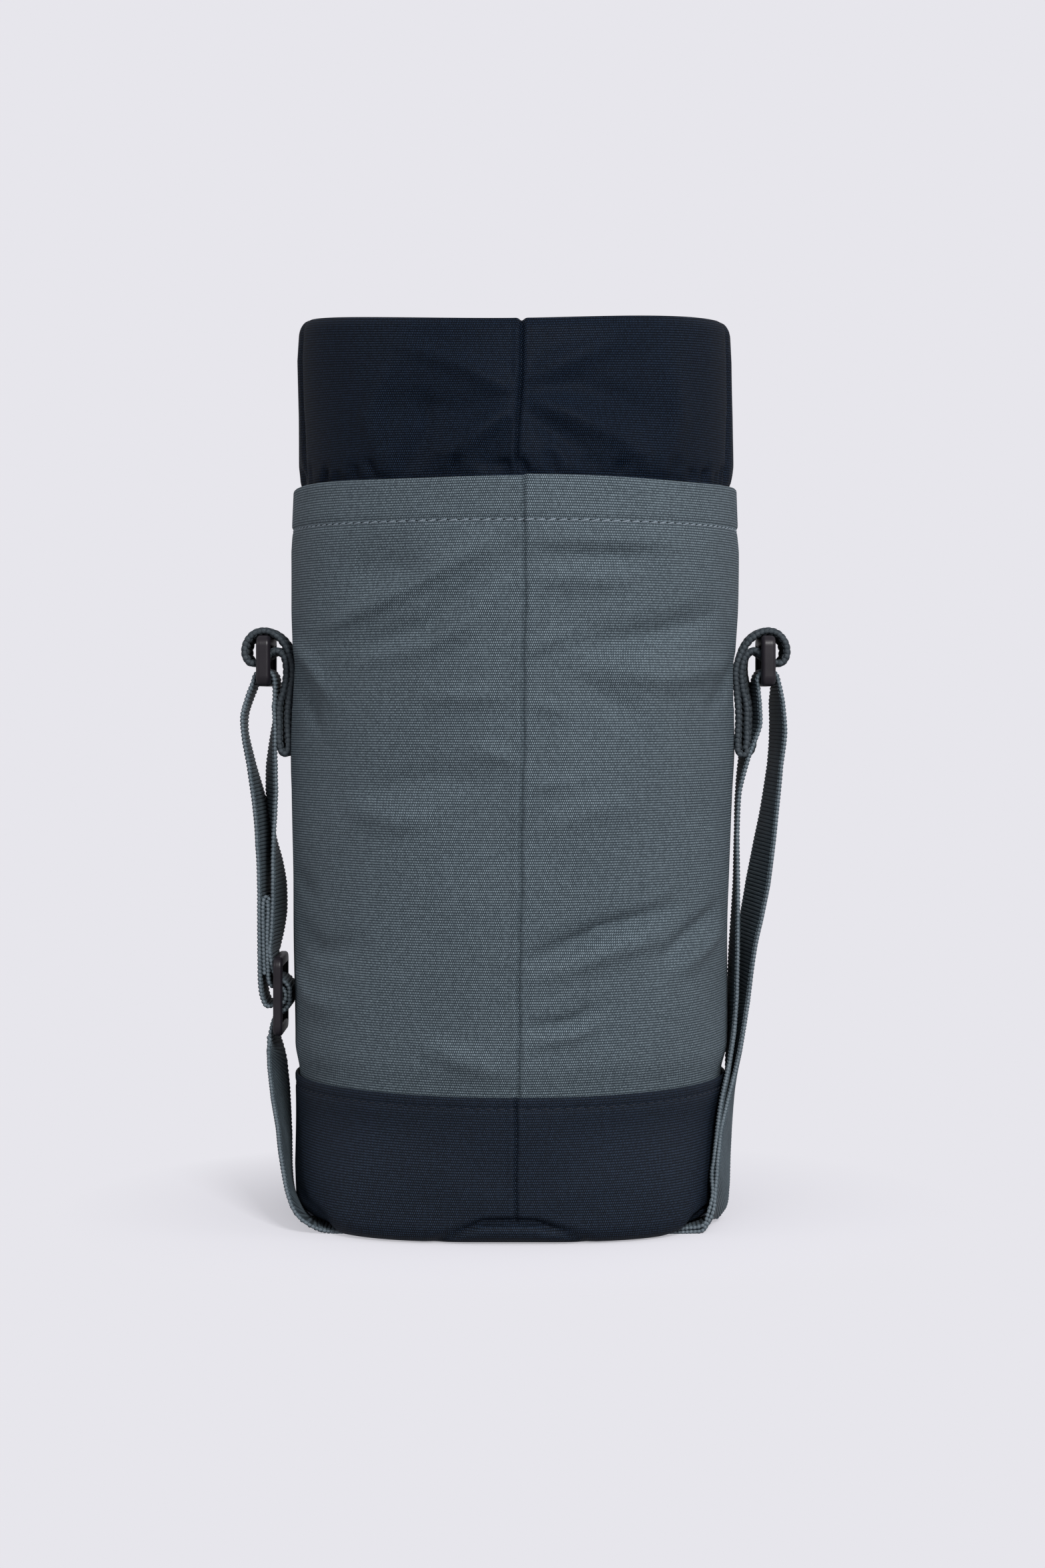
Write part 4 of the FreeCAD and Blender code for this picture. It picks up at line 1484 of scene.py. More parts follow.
    def build(self) -> list[bpy.types.Object]:
        """Makes the base wall, bottom, liner and tape.

        Returns:
            The pieces.
        """
        outside = [(0.9, 15.0), (0.5, 11.0), (0.3, 7.5), (0.5, 5.0), (1.3, 3.0), (2.6, 1.4), (4.2, 0.5),
                   (5.8, 0.12)]
        outside += [(z, 0.0) for z in np.arange(6.6, self.top - 0.9, 0.8)]
        over = rounded_top(self.top, 1.6)
        inside = [(z, self.wall) for z in np.linspace(self.top - 2, 10.0, 24)]
        inside += [(6.0, 2.0), (3.6, 4.0), (2.4, 8.0), (2.2, 15.0)]
        wall = self.cloth("base_wall_cloth", seam_angles(self.columns, self.seam_angle),
                          outside + over + inside, self.finishes.navy)
        set_in(wall, "dark_fabric", "bag", "base_wall")
        stitches = self.topstitch("base_stitches", self.top - self.stitch_drop, 0.1,
                                  self.finishes.dark_thread, self.stitch)
        set_in(stitches, "dark_fabric", "bag")
        disc = self.bottom("base_disc_cloth", radius=77.0, low=1.2, wall=1.2, channel=2.0)
        set_in(disc, "dark_fabric", "bag", "base_disc")
        low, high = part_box("base_liner")
        liner = self.bottom("base_liner_cloth", radius=high[0] / MM, low=low[2] / MM + 0.2, wall=0.8,
                            channel=0.0)
        set_in(liner, "dark_fabric", "bag", "base_liner")
        return [wall, stitches, disc, liner, self.tape_ring("bottom_tape", "bottom_seam_binding")]


# ---------------------------------------------------------------- webbing


@dataclass(frozen=True)
class Weave:
    """How a webbing is made up, in metres."""

    width: float
    wall: float
    rib: float
    rib_height: float
    edge: float


STRAP_WEAVE = Weave(25.0 * MM, 1.3 * MM, 1.5 * MM, 0.34 * MM, 1.35 * MM)
TAB_WEAVE = Weave(25.0 * MM, 2.1 * MM, 2.3 * MM, 0.5 * MM, 2.0 * MM)
TAPE_WEAVE = Weave(20.0 * MM, 1.4 * MM, 1.2 * MM, 0.2 * MM, 1.2 * MM)
Spot = tuple[float, float, float]
Station = tuple[float, float, float, float, float]


class Webbing:
    """A length of flat webbing swept along stations in millimetres."""

    _sample = 1.1 * MM
    _fine_steps = 24
    _tightest = 0.35

    def __init__(self, name: str, stations: Sequence[Station], weave: Weave,
                 body: bpy.types.Material) -> None:
        """Samples the route.

        Args:
            name: the piece's name.
            stations: x, y, z, the degrees that the back edge drops, and those that it turns to the axis.
            weave: its make-up.
            body: its material.
        """
        self.name = name
        self.weave = weave
        self.body = body
        knots = np.array([s[:3] for s in stations]) * MM
        slopes = np.radians([s[3] for s in stations])
        yaws = np.radians([s[4] for s in stations])
        inward = -np.sign(knots[:, 0]) * np.sin(yaws)
        wide = np.stack([inward, np.cos(yaws) * np.cos(slopes), -np.sin(slopes)], axis=-1)
        spans = np.concatenate([[0.0], np.cumsum(np.linalg.norm(np.diff(knots, axis=0), axis=1) ** 0.5)])
        fine = np.concatenate([np.linspace(a, b, self._fine_steps, endpoint=False)
                               for a, b in zip(spans, spans[1:])] + [spans[-1:]])
        dense = self._spline(spans, knots, fine)
        length = np.concatenate([[0.0], np.cumsum(np.linalg.norm(np.diff(dense, axis=0), axis=1))])
        count = max(int(length[-1] / self._sample), 6)
        self.along = np.linspace(0.0, length[-1], count)
        self.middle = np.stack([np.interp(self.along, length, dense[:, k]) for k in range(3)], axis=-1)
        share = np.interp(self.along, length, fine)
        width = np.stack([np.interp(share, spans, wide[:, k]) for k in range(3)], axis=-1)
        course = np.gradient(self.middle, axis=0)
        course /= np.linalg.norm(course, axis=1, keepdims=True)
        width -= (width * course).sum(axis=1, keepdims=True) * course
        self.wide = width / np.linalg.norm(width, axis=1, keepdims=True)
        self.out = np.cross(course, self.wide)
        self.course = course

    @staticmethod
    def _spline(spans: np.ndarray, knots: np.ndarray, places: np.ndarray) -> np.ndarray:
        """A smooth line through the knots.

        Args:
            spans: each knot's parameter.
            knots: the knots.
            places: the parameters wanted.

        Returns:
            A point for each parameter.
        """
        steps = np.diff(spans)[:, None]
        chords = np.diff(knots, axis=0) / steps
        slopes = np.empty_like(knots)
        slopes[0], slopes[-1] = chords[0], chords[-1]
        slopes[1:-1] = (chords[:-1] * steps[1:] + chords[1:] * steps[:-1]) / (steps[:-1] + steps[1:])
        index = np.clip(np.searchsorted(spans, places, side="right") - 1, 0, len(steps) - 1)
        gap = steps[index]
        t = (places - spans[index])[:, None] / gap
        first, second = knots[index], knots[index + 1]
        return ((2 * t ** 3 - 3 * t ** 2 + 1) * first + (t ** 3 - 2 * t ** 2 + t) * gap * slopes[index]
                + (3 * t ** 2 - 2 * t ** 3) * second + (t ** 3 - t ** 2) * gap * slopes[index + 1])

    def section(self) -> np.ndarray:
        """The cross-section: (across, away) pairs in metres, all the way round.

        Returns:
            The pairs.
        """
        half, thick = self.weave.width / 2, self.weave.wall / 2
        flat = np.linspace(-half * 0.95, half * 0.95, 8)
        upper = [(a, thick) for a in flat]
        upper += [(half * 0.985, thick * 0.75), (half, 0.0), (half * 0.985, -thick * 0.75)]
        return np.array(upper + [(-a, -b) for a, b in upper])

    def runs(self, across: float, away: float) -> list[Line]:
        """A line along the webbing, broken where a tight turn would fold it back on itself.

        Args:
            across: metres from its middle.
            away: metres from its mid-plane, with the side as the sign.

        Returns:
            The unbroken lengths of the line.
        """
        points = self.middle + across * self.wide + away * self.out
        outs = self.out if away >= 0 else -self.out
        steps = (np.diff(points, axis=0) * self.course[1:]).sum(axis=1)
        good = np.concatenate([[0], [1], (steps > self._tightest * np.diff(self.along)).astype(int), [0]])
        breaks = np.flatnonzero(np.diff(good))
        return [Line(points[a:b], outs[a:b]) for a, b in zip(breaks[::2], breaks[1::2]) if b - a > 2]

    def faces(self, across: float) -> list[Line]:
        """The unbroken lines along both faces, at metres from the middle."""
        half = self.weave.wall / 2
        return self.runs(across, half) + self.runs(across, -half)

    def edges(self) -> list[Line]:
        """The lines along both edges, whose outward direction is across."""
        reach = self.weave.width / 2 - 0.25 * MM
        return [Line(self.middle + side * reach * self.wide, self.wide * side) for side in (1.0, -1.0)]

    def skin(self) -> bpy.types.Object:
        """The swept webbing itself, closed at both ends.

        Returns:
            The skin.
        """
        section = self.section()
        centre = self.middle[:, None, :]
        points = centre + section[None, :, 0:1] * self.wide[:, None, :] \
            + section[None, :, 1:2] * self.out[:, None, :]
        first = points[:1] * 0.02 + points[:1].mean(axis=1, keepdims=True) * 0.98
        last = points[-1:] * 0.02 + points[-1:].mean(axis=1, keepdims=True) * 0.98
        points = np.concatenate([first, points, last])
        along = np.concatenate([self.along[:1], self.along, self.along[-1:]])
        across = np.append(section[:, 0], section[0, 0])
        wide, up = np.meshgrid(across, along)
        piece = woven(self.name, points, np.stack([wide, up], axis=-1), self.body, rows_close=False)
        if self.wound_inwards(points):
            piece.data.flip_normals()
        return piece

    @staticmethod
    def wound_inwards(points: np.ndarray) -> bool:
        """True if the skin's faces point inwards.

        Args:
            points: the skin's grid.

        Returns:
            Whether they do, from one face at its middle.
        """
        middle = len(points) // 2
        ring = points[middle]
        centre = ring.mean(axis=0)
        step = points[middle + 1].mean(axis=0) - points[middle - 1].mean(axis=0)
        normal = np.cross(ring[1] - ring[0], step)
        return float(normal @ (ring[0] - centre)) < 0

    def dressed(self, rib: bpy.types.Material, yarn: bpy.types.Material) -> bpy.types.Object:
        """The webbing with its ribs and edge yarns, as one piece.

        Args:
            rib: the ribs' material.
            yarn: the edge yarns' material.

        Returns:
            The piece.
        """
        weave = self.weave
        rib_size = BeadSize(weave.rib, weave.rib * 0.86, weave.width * 0.93, weave.rib_height * 2)
        edge_size = BeadSize(weave.rib, weave.rib * 1.05, weave.edge * 1.1, weave.edge * 0.75, slant=0.3)
        ribs = Trim.lay(self.name + "_ribs", self.faces(0.0), Bead.RIB, rib, rib_size)
        edges = Trim.lay(self.name + "_edges", self.edges(), Bead.THREAD, yarn, edge_size)
        return joined(self.name, [self.skin(), ribs, edges])


def arc(centre: tuple[float, float], radius: float, start: float, stop: float, steps: int) -> list[Station]:
    """Stations round a bar that lies along y.

    Args:
        centre: the bar's x and z in millimetres.
        radius: the arc's radius.
        start: its first angle in degrees, 0 towards +x.
        stop: its last angle.
        steps: how many stations.

    Returns:
        The stations.
    """
    turns = np.radians(np.linspace(start, stop, steps))
    return [(centre[0] + radius * math.cos(t), 0.0, centre[1] + radius * math.sin(t), 0.0, 0.0)
            for t in turns]


@dataclass
class CarryStrap:
    """The strap: left legs with the slider, the run under the base and the right loop."""

    finishes: Finishes
    bar: float = 4.5
    wrap: float = 4.05
    loop_end: float = 197.0
    overlap: float = 0.3
    face_gap: float = 2.65
    stitch: BeadSize = BeadSize(pitch=2.6 * MM, length=2.0 * MM, width=0.8 * MM, height=0.6 * MM,
                                slant=0.1, stray=0.1)
    stitch_half: float = 9.0
    setback: float = field(init=False)
    ring: float = field(init=False)
    low_bar: float = field(init=False)
    slider: float = field(init=False)
    slider_middle: float = field(init=False)
    face: float = field(init=False)

    def __post_init__(self) -> None:
        """Takes the places of the ring and the slider from the frame."""
        low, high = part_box("right_ring")
        self.ring = (low[0] + high[0]) / 2 / MM
        self.low_bar = low[2] / MM + self.bar / 2
        low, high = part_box("slider")
        self.slider = -(low[0] + high[0]) / 2 / MM
        self.slider_middle = (low[2] + high[2]) / 2 / MM
        self.face = -self.slider - self.face_gap
        low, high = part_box("strap_under_run")
        self.setback = (low[1] + high[1]) / 2 / MM

    def web(self, name: str, stations: Sequence[Station], *nodes: str) -> bpy.types.Object:
        """One finished stretch of the strap.

        Args:
            name: the piece's name.
            stations: its route.
            nodes: the CAD nodes that it stands for.

        Returns:
            The piece, which moves with no body yet.
        """
        made = Webbing(name, stations, STRAP_WEAVE, self.finishes.strap)
        piece = made.dressed(self.finishes.rib, self.finishes.edge_yarn)
        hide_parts(*nodes)
        return piece

    @staticmethod
    def between(piece: bpy.types.Object, near: str, far: str, start: Spot, end: Spot) -> bpy.types.Object:
        """Bakes a stretch's placement into its mesh; it is not bent.

        Args:
            piece: the stretch.
            near: not used.
            far: not used.
            start: not used.
            end: not used.

        Returns:
            The same stretch.
        """
        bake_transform(piece)
        return piece

    def right_run(self) -> bpy.types.Object:
        """From the end sewn on under the base, up and over the right ring, and back under the base.

        Returns:
            The piece.
        """
        y = self.setback
        upper, lower = 2.1, 0.66
        stations = [(10.0, y, upper, 0, 0), (40.0, y, upper, 0, 0), (64.0, y, upper, 0, 0),
                    (71.0, y, 2.9, 2, -6), (74.9, y + 1, 8.0, 8, -13), (76.9, y + 8, 16.5, 26, -12),
                    (78.5, -33.0, 27.5, 34, -9), (80.0, -24.0, 38.0, 33, -6), (82.9, -12.0, 52.0, 26, -2),
                    (84.5, -4.0, 66.0, 12, 2), (85.4, -1.0, 82.0, 3, 4), (86.1, 0, 100.0, 0, 3),
                    (87.0, 0, 126.0, 0, -1), (87.2, 0, 148.0, 0, -3), (87.9, 0, 164.0, 0, -2),
                    (90.4, 0, 178.0, 0, 4), (93.2, 0, 190.0, 0, 12), (93.4, 0, 199.0, 0, 10)]
        stations += arc((self.ring, self.low_bar), self.wrap, 180.0, 0.0, 9)
        stations += [(103.0, 0, 199.0, 0, 7), (103.5, 0, 187.0, 0, 9), (102.3, 0, 174.0, 0, 7),
                     (99.9, 0, 155.0, 0, 10), (98.2, 0, 144.0, 0, 13), (95.6, 0, 128.0, 0, 16),
                     (93.2, 0, 115.0, 0, 15), (91.3, 0, 105.0, 0, 13), (90.0, 0, 94.0, 0, 11),
                     (88.7, 0, 81.0, 2, 10), (87.7, -2.0, 70.0, 8, 7), (86.2, -7.0, 57.0, 20, 3),
                     (84.4, -14.0, 46.0, 29, -2), (82.4, -22.0, 37.0, 33, -6), (80.5, -31.0, 28.0, 33, -10),
                     (79.1, -40.0, 20.0, 30, -12), (77.5, y + 3, 12.0, 20, -13), (74.7, y, 5.0, 6, -9),
                     (70.8, y, 1.2, 1, -3), (65.0, y, lower, 0, 0), (20.0, y, lower, 0, 0),
                     (-30.0, y, lower, 0, 0), (-62.0, y, lower, 0, 0), (-68.0, y, 0.7, 0, 0)]
        piece = self.web("strap_right_run", stations, "strap_end_ply", "strap_right_inner_leg",
                         "strap_right_loop", "strap_right_outer_leg", "strap_under_run")
        return self.between(piece, "right_ring", "carry_strap", (self.ring, 0.0, self.low_bar - 3),
                            (self.ring, 0.0, self.low_bar - 30))

    def left_lower(self) -> bpy.types.Object:
        """From under the base up to the slider's foot.

        Returns:
            The piece.
        """
        y = self.setback
        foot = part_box("strap_slider_bight")[0][2] / MM
        stations = [(-67.0, y, 0.7, 0, 0), (-73.0, y, 1.3, 1, 1), (-78.6, y, 3.9, 4, 3),
                    (-83.4, y + 5, 9.5, 16, 5), (-87.3, -37.0, 18.0, 30, 5), (-89.6, -25.0, 28.0, 33, 7),
                    (-91.4, -14.0, 38.0, 30, 12), (-93.2, -5.0, 51.0, 17, 13), (-94.3, -1.0, 60.0, 5, 10),
                    (self.face, 0.0, foot + 0.6, 0, 4)]
        piece = self.web("strap_left_lower_leg_web", stations, "strap_left_lower_leg")
        return self.between(piece, "carry_strap", "strap_slider", (-81.0, y, 6.0), (self.face, 0.0, foot))

    def bight(self) -> bpy.types.Object:
        """The running ply through the slider, over the sewn ply on its bag side.

        Returns:
            The piece.
        """
        m = self.slider_middle
        foot, top = (corner[2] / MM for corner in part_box("strap_slider_bight"))
        half_turn = [(-0.6, 7.2), (2.0, 5.8), (4.1, 3.2), (4.2, 0.0), (4.1, -3.2), (2.0, -5.8), (-0.6, -7.2)]
        steps = [(self.face, top + self.overlap, 4), (self.face, m + 12.6, 0)]
        steps += [(x - self.slider, m + z, 0) for x, z in half_turn]
        steps += [(self.face, m - 12.6, 0), (self.face, foot - self.overlap, 4)]
        stations = [(x, 0.0, z, 0, turn) for x, z, turn in steps]
        piece = self.web("strap_slider_bight_web", stations, "strap_slider_bight")
        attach(piece, "strap_slider")
        return piece

    def left_inner(self) -> bpy.types.Object:
        """The running ply from the ring's bag side down to the slider.

        Returns:
            The piece.
        """
        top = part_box("strap_slider_bight")[1][2] / MM
        stations = [(-94.6, 0, self.loop_end + self.overlap, 0, 0), (-95.4, 0, 189.0, 0, -6),
                    (-96.4, 0, 174.0, 0, -12), (-96.4, 0, 164.0, 0, -13), (-96.2, 0, 154.0, 0, -10),
                    (-95.4, 0, 144.0, 0, -3), (-94.4, 0, 136.0, 0, 3), (-93.6, 0, 127.0, 0, 7),
                    (-93.6, 0, 116.0, 0, 8), (-94.4, 0, 108.0, 0, 6),
                    (self.face, 0, top - self.overlap, 0, 4)]
        piece = self.web("strap_left_inner_leg_web", stations, "strap_left_inner_leg")
        return self.between(piece, "carry_strap", "strap_slider", (-94.4, 0.0, self.loop_end),
                            (self.face, 0.0, top))

    def left_loop(self) -> bpy.types.Object:
        """The loop over the left ring's lower bar.

        Returns:
            The piece.
        """
        stations = [(-94.6, 0, self.loop_end, 0, 0), (-94.3, 0, self.loop_end + 3.0, 0, 0)]
        stations += arc((-self.ring, self.low_bar), self.wrap, 0.0, 180.0, 9)
        stations += [(-104.6, 0, 202.0, 0, 0), (-106.3, 0, self.loop_end, 0, -1)]
        piece = self.web("strap_left_loop_web", stations, "strap_left_outer_leg", "strap_left_inner_leg")
        return self.between(piece, "left_ring", "carry_strap", (-self.ring, 0.0, self.low_bar - 3),
                            (-self.ring, 0.0, self.loop_end + 0.5))

    def left_outer(self) -> bpy.types.Object:
        """The outer leg that holds the slider.

        Returns:
            The piece.
        """
        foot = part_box("strap_left_outer_leg")[0][2] / MM
        stations = [(-106.25, 0, self.loop_end + self.overlap, 0, -1), (-107.1, 0, 193.5, 0, -1),
                    (-107.0, 0, 187.0, 0, -2), (-104.4, 0, 174.0, 0, 0), (-100.6, 0, 156.0, 0, 7),
                    (-98.9, 0, 143.0, 0, 11), (-98.6, 0, 128.0, 0, 9), (-99.3, 0, 114.0, 0, 5),
                    (-99.6, 0, foot, 0, 3)]
        piece = self.web("strap_left_outer_leg_web", stations, "strap_left_outer_leg")
        return self.between(piece, "carry_strap", "strap_slider", (-100.0, 0.0, self.loop_end),
                            (-100.0, 0.0, foot))

    def sewn_end(self) -> bpy.types.Object:
        """The strap's end, sewn back on itself round the slider's middle bar.

        Returns:
            The piece.
        """
        s, m = self.slider, self.slider_middle
        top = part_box("strap_left_outer_leg")[0][2] / MM
        steps = [(-99.6, top + self.overlap, 3), (-99.7, m + 4, 1), (-99.0, m - 1, 0), (-97.4, m - 4.0, 0),
                 (-s - 2.0, m - 3.6, 0), (-s + 1.2, m - 3.2, 0), (-s + 2.6, m - 1.2, 0),
                 (-s + 2.6, m + 1.2, 0), (-s + 1.2, m + 3.2, 0), (-s - 2.0, m + 3.6, 0),
                 (-96.3, m + 5.0, 0), (-96.7, m + 10.0, 1), (-96.4, m + 22.0, 4), (-95.7, m + 37.2, 7),
                 (-96.4, m + 38.7, 7), (-97.2, m + 37.4, 7), (-97.9, m + 22.0, 4), (-98.1, m + 9.0, 1)]
        stations = [(x, 0.0, z, 0, turn) for x, z, turn in steps]
        piece = self.web("strap_sewn_end_web", stations, "strap_sewn_end")
        rows = []
        for height, face, lean in ((m + 13.0, -100.1, 0.03), (m + 30.0, -99.7, 0.07)):
            across = np.linspace(-self.stitch_half, self.stitch_half, 12)
            points = np.stack([face + lean * across, across, np.full_like(across, height)], axis=-1)
            rows.append(Line(points * MM, np.tile([-1.0, 0.0, 0.0], (len(across), 1))))
        stitches = Trim.lay("strap_end_stitches", rows, Bead.THREAD, self.finishes.dark_thread, self.stitch)
        piece = joined("strap_sewn_end_web", [piece, stitches])
        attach(piece, "strap_slider")
        return piece

    def build(self) -> list[bpy.types.Object]:
        """Makes every stretch of the strap."""
        return [self.right_run(), self.left_lower(), self.bight(), self.left_inner(), self.left_loop(),
                self.left_outer(), self.sewn_end()]


@dataclass
class RingTab:
    """The thick braided tab that holds a ring, sewn low on the bag's side."""

    finishes: Finishes
    side: int
    label: str
    braid_slant: float = 0.62
    lane: float = 4.6
    edge_yarn: BeadSize = BeadSize(pitch=1.84 * MM, length=2.4 * MM, width=2.2 * MM, height=1.0 * MM,
                                   slant=0.25)
    tack: BeadSize = BeadSize(pitch=2.8 * MM, length=2.3 * MM, width=0.7 * MM, height=0.6 * MM)
    tack_reach: float = 93.7
    tack_half: float = 9.0
    tack_low: float = 183.5
    tack_high: float = 197.5

    def build(self) -> list[bpy.types.Object]:
        """Makes the tab with its braid and its stitches.

        Returns:
            The piece.
        """
        s = self.side
        node = f"{self.label}_tab"
        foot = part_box(node)[0][2] / MM
        turn = 0.0 if s < 0 else -11.0
        route = [(89.1, foot + 8.4, 1.0), (89.3, foot + 17.0, 1.0), (88.2, 203.6, 0.8), (87.4, 211.0, 0.6),
                 (88.8, 218.0, 0.3), (92.5, 223.8, 0.1), (97.4, 226.6, 0.0), (102.2, 225.8, 0.0),
                 (105.4, 222.0, 0.0), (105.9, 217.2, 0.0), (103.8, 214.2, 0.0), (100.4, 214.8, 0.0),
                 (97.0, 217.2, 0.1), (93.7, 219.0, 0.2), (90.8, 216.8, 0.4), (89.7, 211.2, 0.6),
                 (90.5, 204.6, 0.8), (92.4, 197.6, 1.0), (92.5, 189.0, 1.0), (92.3, foot + 4.6, 1.0),
                 (91.0, foot + 1.6, 1.0), (89.4, foot + 2.0, 1.0), (88.9, foot + 6.6, 1.0)]
        stations = [(s * x, 0.0, z, 0.0, turn * share) for x, z, share in route]
        web = Webbing(node + "_web", stations, TAB_WEAVE, self.finishes.tab)
        half = TAB_WEAVE.width / 2
        parts = [web.skin()]
        for slant, shift in ((self.braid_slant, 0.0), (-self.braid_slant, 0.5)):
            lanes = (np.arange(-4, 5) + shift) * half / self.lane
            lines = [line for a in lanes if abs(a) < half * 0.93 for line in web.faces(a)]
            braid = BeadSize(TAB_WEAVE.rib, 3.1 * MM, 1.5 * MM, 0.95 * MM, slant, stray=0.05)
            parts.append(Trim.lay(f"{node}_braid", lines, Bead.THREAD, self.finishes.tab_yarn, braid))
        parts.append(Trim.lay(f"{node}_edges", web.edges(), Bead.THREAD, self.finishes.tab_yarn,
                              self.edge_yarn))
        parts.append(self.tacks(math.sin(math.radians(turn))))
        piece = joined(node + "_web", parts)
        set_in(piece, "tab_webbing", "bag", node)
        return [piece]

    def tacks(self, lean: float) -> bpy.types.Object:
        """The sewn box that holds the tab to the bag.

        Args:
            lean: how much nearer the axis it gets per millimetre towards the back.

        Returns:
            The stitches.
        """
        half, low, high = self.tack_half, self.tack_low, self.tack_high
        corners = [(-half, low), (half, low), (half, high), (-half, high), (-half, low), (half, high)]
        lines = []
        for (y0, z0), (y1, z1) in zip(corners, corners[1:]):
            share = np.linspace(0, 1, 8)[:, None]
            flat = np.array([[y0, z0]]) * (1 - share) + np.array([[y1, z1]]) * share
            out = self.side * (self.tack_reach - lean * flat[:, :1])
            points = np.concatenate([out, flat], axis=1) * MM
            lines.append(Line(points, np.tile([float(self.side), 0.0, 0.0], (8, 1))))
        return Trim.lay(f"{self.label}_tab_tacks", lines, Bead.THREAD, self.finishes.dark_thread, self.tack)


@dataclass
class Inside:
    """What the bag holds inside: the tie-in loop and the tape over the shell's seam."""

    finishes: Finishes
    tape_radius: float = 85.0
    tape_insets: tuple[float, float] = (1.35, 2.0)

    def tie_in_loop(self) -> bpy.types.Object:
        """The loop of tape that the rope's end is tied to.

        Returns:
            The piece.
        """
        low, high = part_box("rope_tie_in_loop")
        x, foot, top = high[0] / MM - 0.8, low[2] / MM + 1.0, high[2] / MM - 1.0
        y = (low[1] + high[1]) / 2 / MM
        crown = top - x
        turns = np.radians(np.linspace(180, 0, 13))
        stations = [(-x + 0.6, y, foot, 0.0, 0.0), (-x, y, foot + 8, 0.0, 0.0)]
        stations += [(x * math.cos(t), y, crown + x * math.sin(t), 0.0, 0.0) for t in turns]
        stations += [(x, y, foot + 8, 0.0, 0.0), (x - 0.6, y, foot, 0.0, 0.0)]
        piece = Webbing("tie_in_loop_web", stations, TAPE_WEAVE, self.finishes.tape).dressed(
            self.finishes.rib, self.finishes.edge_yarn)
        set_in(piece, "binding_tape", "bag", "rope_tie_in_loop")
        return piece

    def seam_tape(self, shell: Shell) -> bpy.types.Object:
        """The tape that covers the shell's upright seam inside.

        Args:
            shell: the shell that it lies on.

        Returns:
            The piece.
        """
        low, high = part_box("shell_seam_binding")
        half = np.degrees(math.asin(high[0] / (self.tape_radius * MM)))
        heights = np.linspace(low[2] / MM + 0.5, high[2] / MM - 0.5, 120)
        across = np.linspace(-half, half, 9)
        angle, height = np.meshgrid(np.concatenate([across, across[::-1]]), heights)
        inner = np.repeat(np.repeat([self.tape_insets], len(across), axis=1), len(heights), axis=0)
        points = shell.place(angle, height, inner)
        per_degree = math.pi / 180 * self.tape_radius
        flat_x, flat_y = np.meshgrid(np.append(angle[0], angle[0, 0]) * per_degree, heights)
        piece = woven("shell_seam_tape", points, np.stack([flat_x, flat_y], axis=-1) * MM,
                      self.finishes.tape, rows_close=False)
        set_in(piece, "binding_tape", "bag", "shell_seam_binding")
        return piece


# ---------------------------------------------------------------- stage


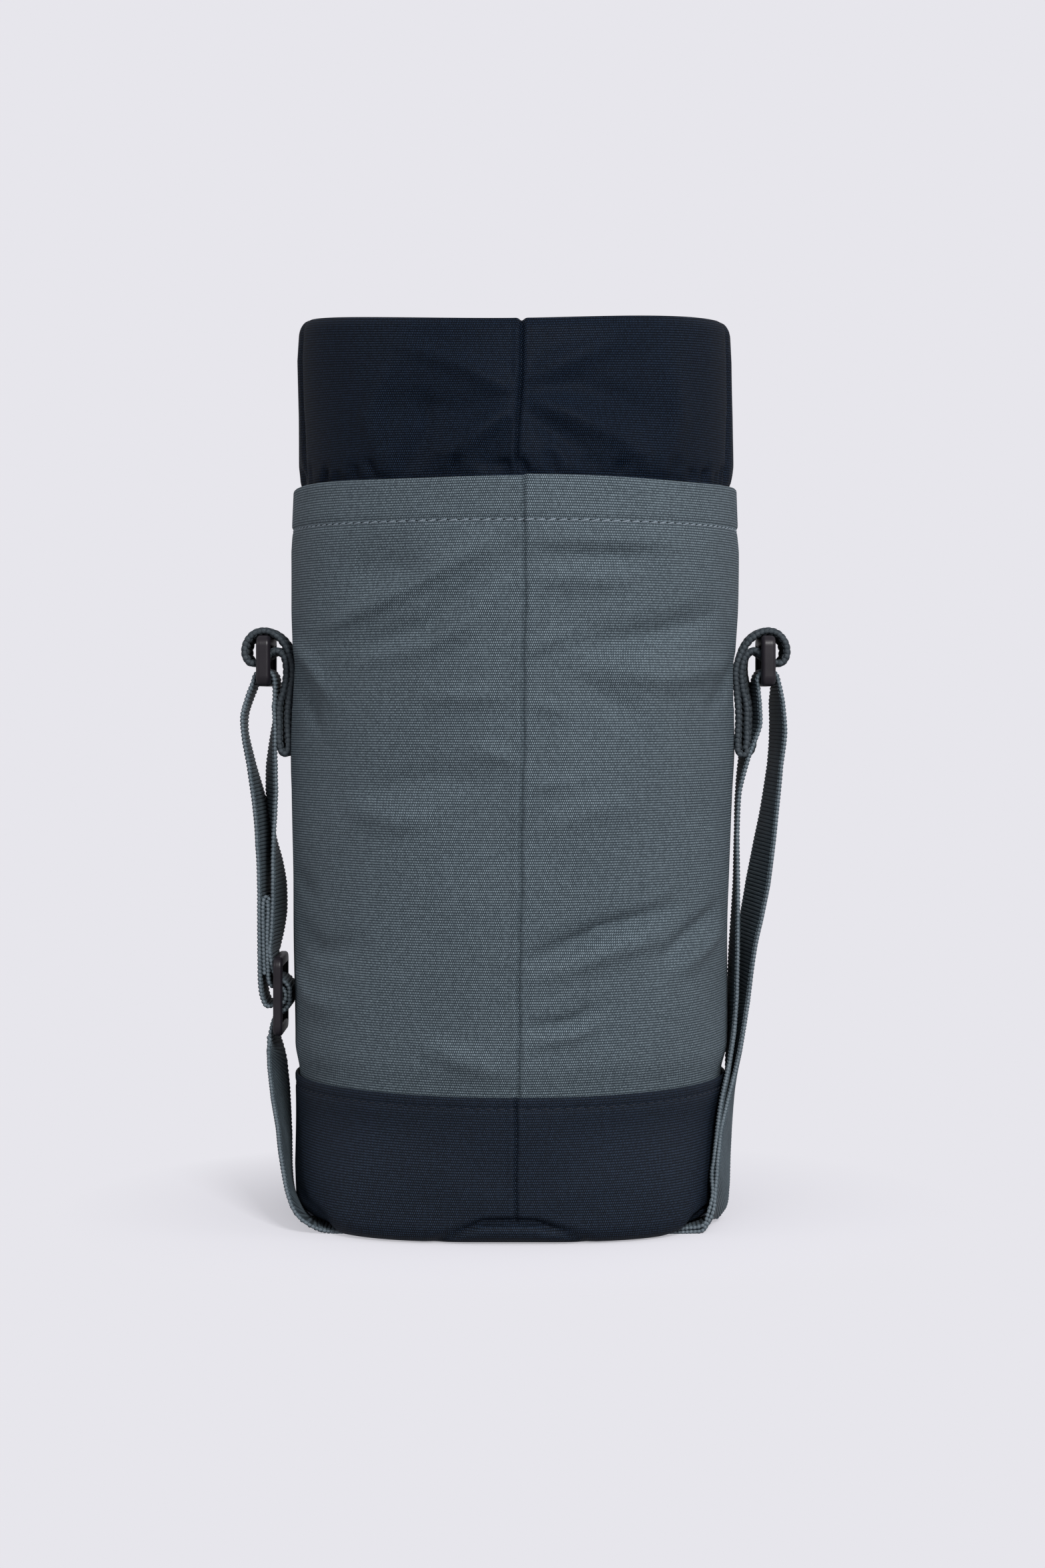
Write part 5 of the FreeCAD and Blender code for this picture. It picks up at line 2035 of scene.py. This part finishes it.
@dataclass(frozen=True)
class Studio:
    """The floor, the light and the camera."""

    eye_height: float = 0.201
    distance: float = 1.190
    aside: float = 0.0026
    lens: float = 69.2
    sensor: float = 36.0
    drop: float = -0.0557
    above: float = 0.44
    below: float = 0.34
    aim_height: float = 0.16
    floor_radius: float = 2.2
    turn_radius: float = 0.8
    wall_top: float = 3.6

    def sweep(self) -> None:
        """A round floor that turns up into a wall all the way round."""
        bend = self.turn_radius
        wall = self.floor_radius + bend
        profile = [(r, 0.0) for r in (0.02, 0.3, 0.8, 1.6, self.floor_radius)]
        profile += [(self.floor_radius + bend * math.cos(t), bend + bend * math.sin(t))
                    for t in np.radians(np.linspace(-90, 0, 12))[1:]]
        profile += [(wall, 2.0), (wall, self.wall_top)]
        rows = np.array(profile)[::-1]
        angles = np.radians(np.linspace(0, 360, 96, endpoint=False))
        angle, reach = np.meshgrid(angles, rows[:, 0])
        height = np.repeat(rows[:, 1:2], len(angles), axis=1)
        points = np.stack([reach * np.cos(angle), reach * np.sin(angle), height], axis=-1)
        flat = np.zeros((len(rows) + 1, len(angles) + 1, 2))
        finish = PaleFloor("studio_paper", PAPER, glow=0.50, share=0.7).make()
        paper = woven("studio_sweep", points, flat, finish, rows_close=False)
        paper.visible_diffuse = False
        paper.visible_glossy = False

    def lamp(self, name: str, place: Spot, size: float, power: float) -> None:
        """A square soft lamp that looks at the bag.

        Args:
            name: its name.
            place: where it stands.
            size: its side.
            power: its watts.
        """
        data = bpy.data.lights.new(name, "AREA")
        data.size = size
        data.energy = power
        lamp = bpy.data.objects.new(name, data)
        bpy.context.scene.collection.objects.link(lamp)
        aim = Vector((0.0, 0.0, self.aim_height)) - Vector(place)
        lamp.rotation_euler = aim.to_track_quat("-Z", "Y").to_euler()
        lamp.location = place

    def air(self) -> None:
        """Soft light from all round, a little stronger from above."""
        world = bpy.data.worlds.new("studio_air")
        world.use_nodes = True
        tree = world.node_tree
        place = tree.nodes.new("ShaderNodeTexCoord")
        split = tree.nodes.new("ShaderNodeSeparateXYZ")
        reach = tree.nodes.new("ShaderNodeMapRange")
        reach.interpolation_type = "SMOOTHSTEP"
        for name, value in (("From Min", -0.5), ("From Max", 0.9), ("To Min", self.below),
                            ("To Max", self.above)):
            reach.inputs[name].default_value = value
        air = tree.nodes["Background"]
        air.inputs["Color"].default_value = (*PAPER, 1.0)
        tree.links.new(place.outputs["Generated"], split.inputs["Vector"])
        tree.links.new(split.outputs["Z"], reach.inputs["Value"])
        tree.links.new(reach.outputs["Result"], air.inputs["Strength"])
        bpy.context.scene.world = world

    def camera(self) -> None:
        """A camera at half the bag's height, which looks level at it."""
        data = bpy.data.cameras.new("camera")
        data.sensor_fit = "VERTICAL"
        data.sensor_height = self.sensor
        data.lens = self.lens
        data.shift_y = self.drop
        camera = bpy.data.objects.new("camera", data)
        bpy.context.scene.collection.objects.link(camera)
        camera.location = (self.aside, -self.distance, self.eye_height)
        camera.rotation_euler = (math.pi / 2, 0.0, 0.0)
        bpy.context.scene.camera = camera
        bpy.context.scene.view_settings.view_transform = "Standard"

    def build(self) -> None:
        """Sets the stage."""
        self.sweep()
        self.air()
        self.lamp("key", (0.5, -1.55, 1.1), size=0.45, power=20.5)
        self.lamp("right_side", (1.7, -0.5, 0.9), size=0.5, power=5.0)
        self.lamp("left_side", (-1.7, -0.7, 0.8), size=0.7, power=3.5)
        self.camera()


def clear_start_up() -> None:
    """Takes away what Blender starts with."""
    for name in ("Cube", "Light", "Camera"):
        if name in bpy.data.objects:
            bpy.data.objects.remove(bpy.data.objects[name])


def dress_kept(finishes: Finishes) -> None:
    """Gives the kept rigid parts their plastic.

    Args:
        finishes: the materials.
    """
    for name, material in (("left_ring", finishes.plastic), ("right_ring", finishes.plastic),
                           ("slider", finishes.plastic), ("base_stiffener", finishes.board)):
        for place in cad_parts[name].material_slots:
            place.material = material


def main() -> None:
    """Builds the bag and its stage."""
    logging.basicConfig(level=logging.INFO, format="%(name)s: %(message)s")
    clear_start_up()
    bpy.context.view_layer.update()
    finishes = Finishes()
    form = BagForm()
    shell = Shell(form, finishes)
    inside = Inside(finishes)
    makers = [shell, Collar(form, finishes), Base(form, finishes), RingTab(finishes, -1, "left"),
              RingTab(finishes, 1, "right"), CarryStrap(finishes)]
    pieces = [piece for maker in makers for piece in maker.build()]
    pieces += [inside.tie_in_loop(), inside.seam_tape(shell)]
    dress_kept(finishes)
    for piece in pieces:
        piece.data.calc_loop_triangles()
        LOG.info("%s: %d triangles", piece.name, len(piece.data.loop_triangles))
    Studio().build()
    bpy.context.view_layer.update()


if __name__ == "__main__":
    main()
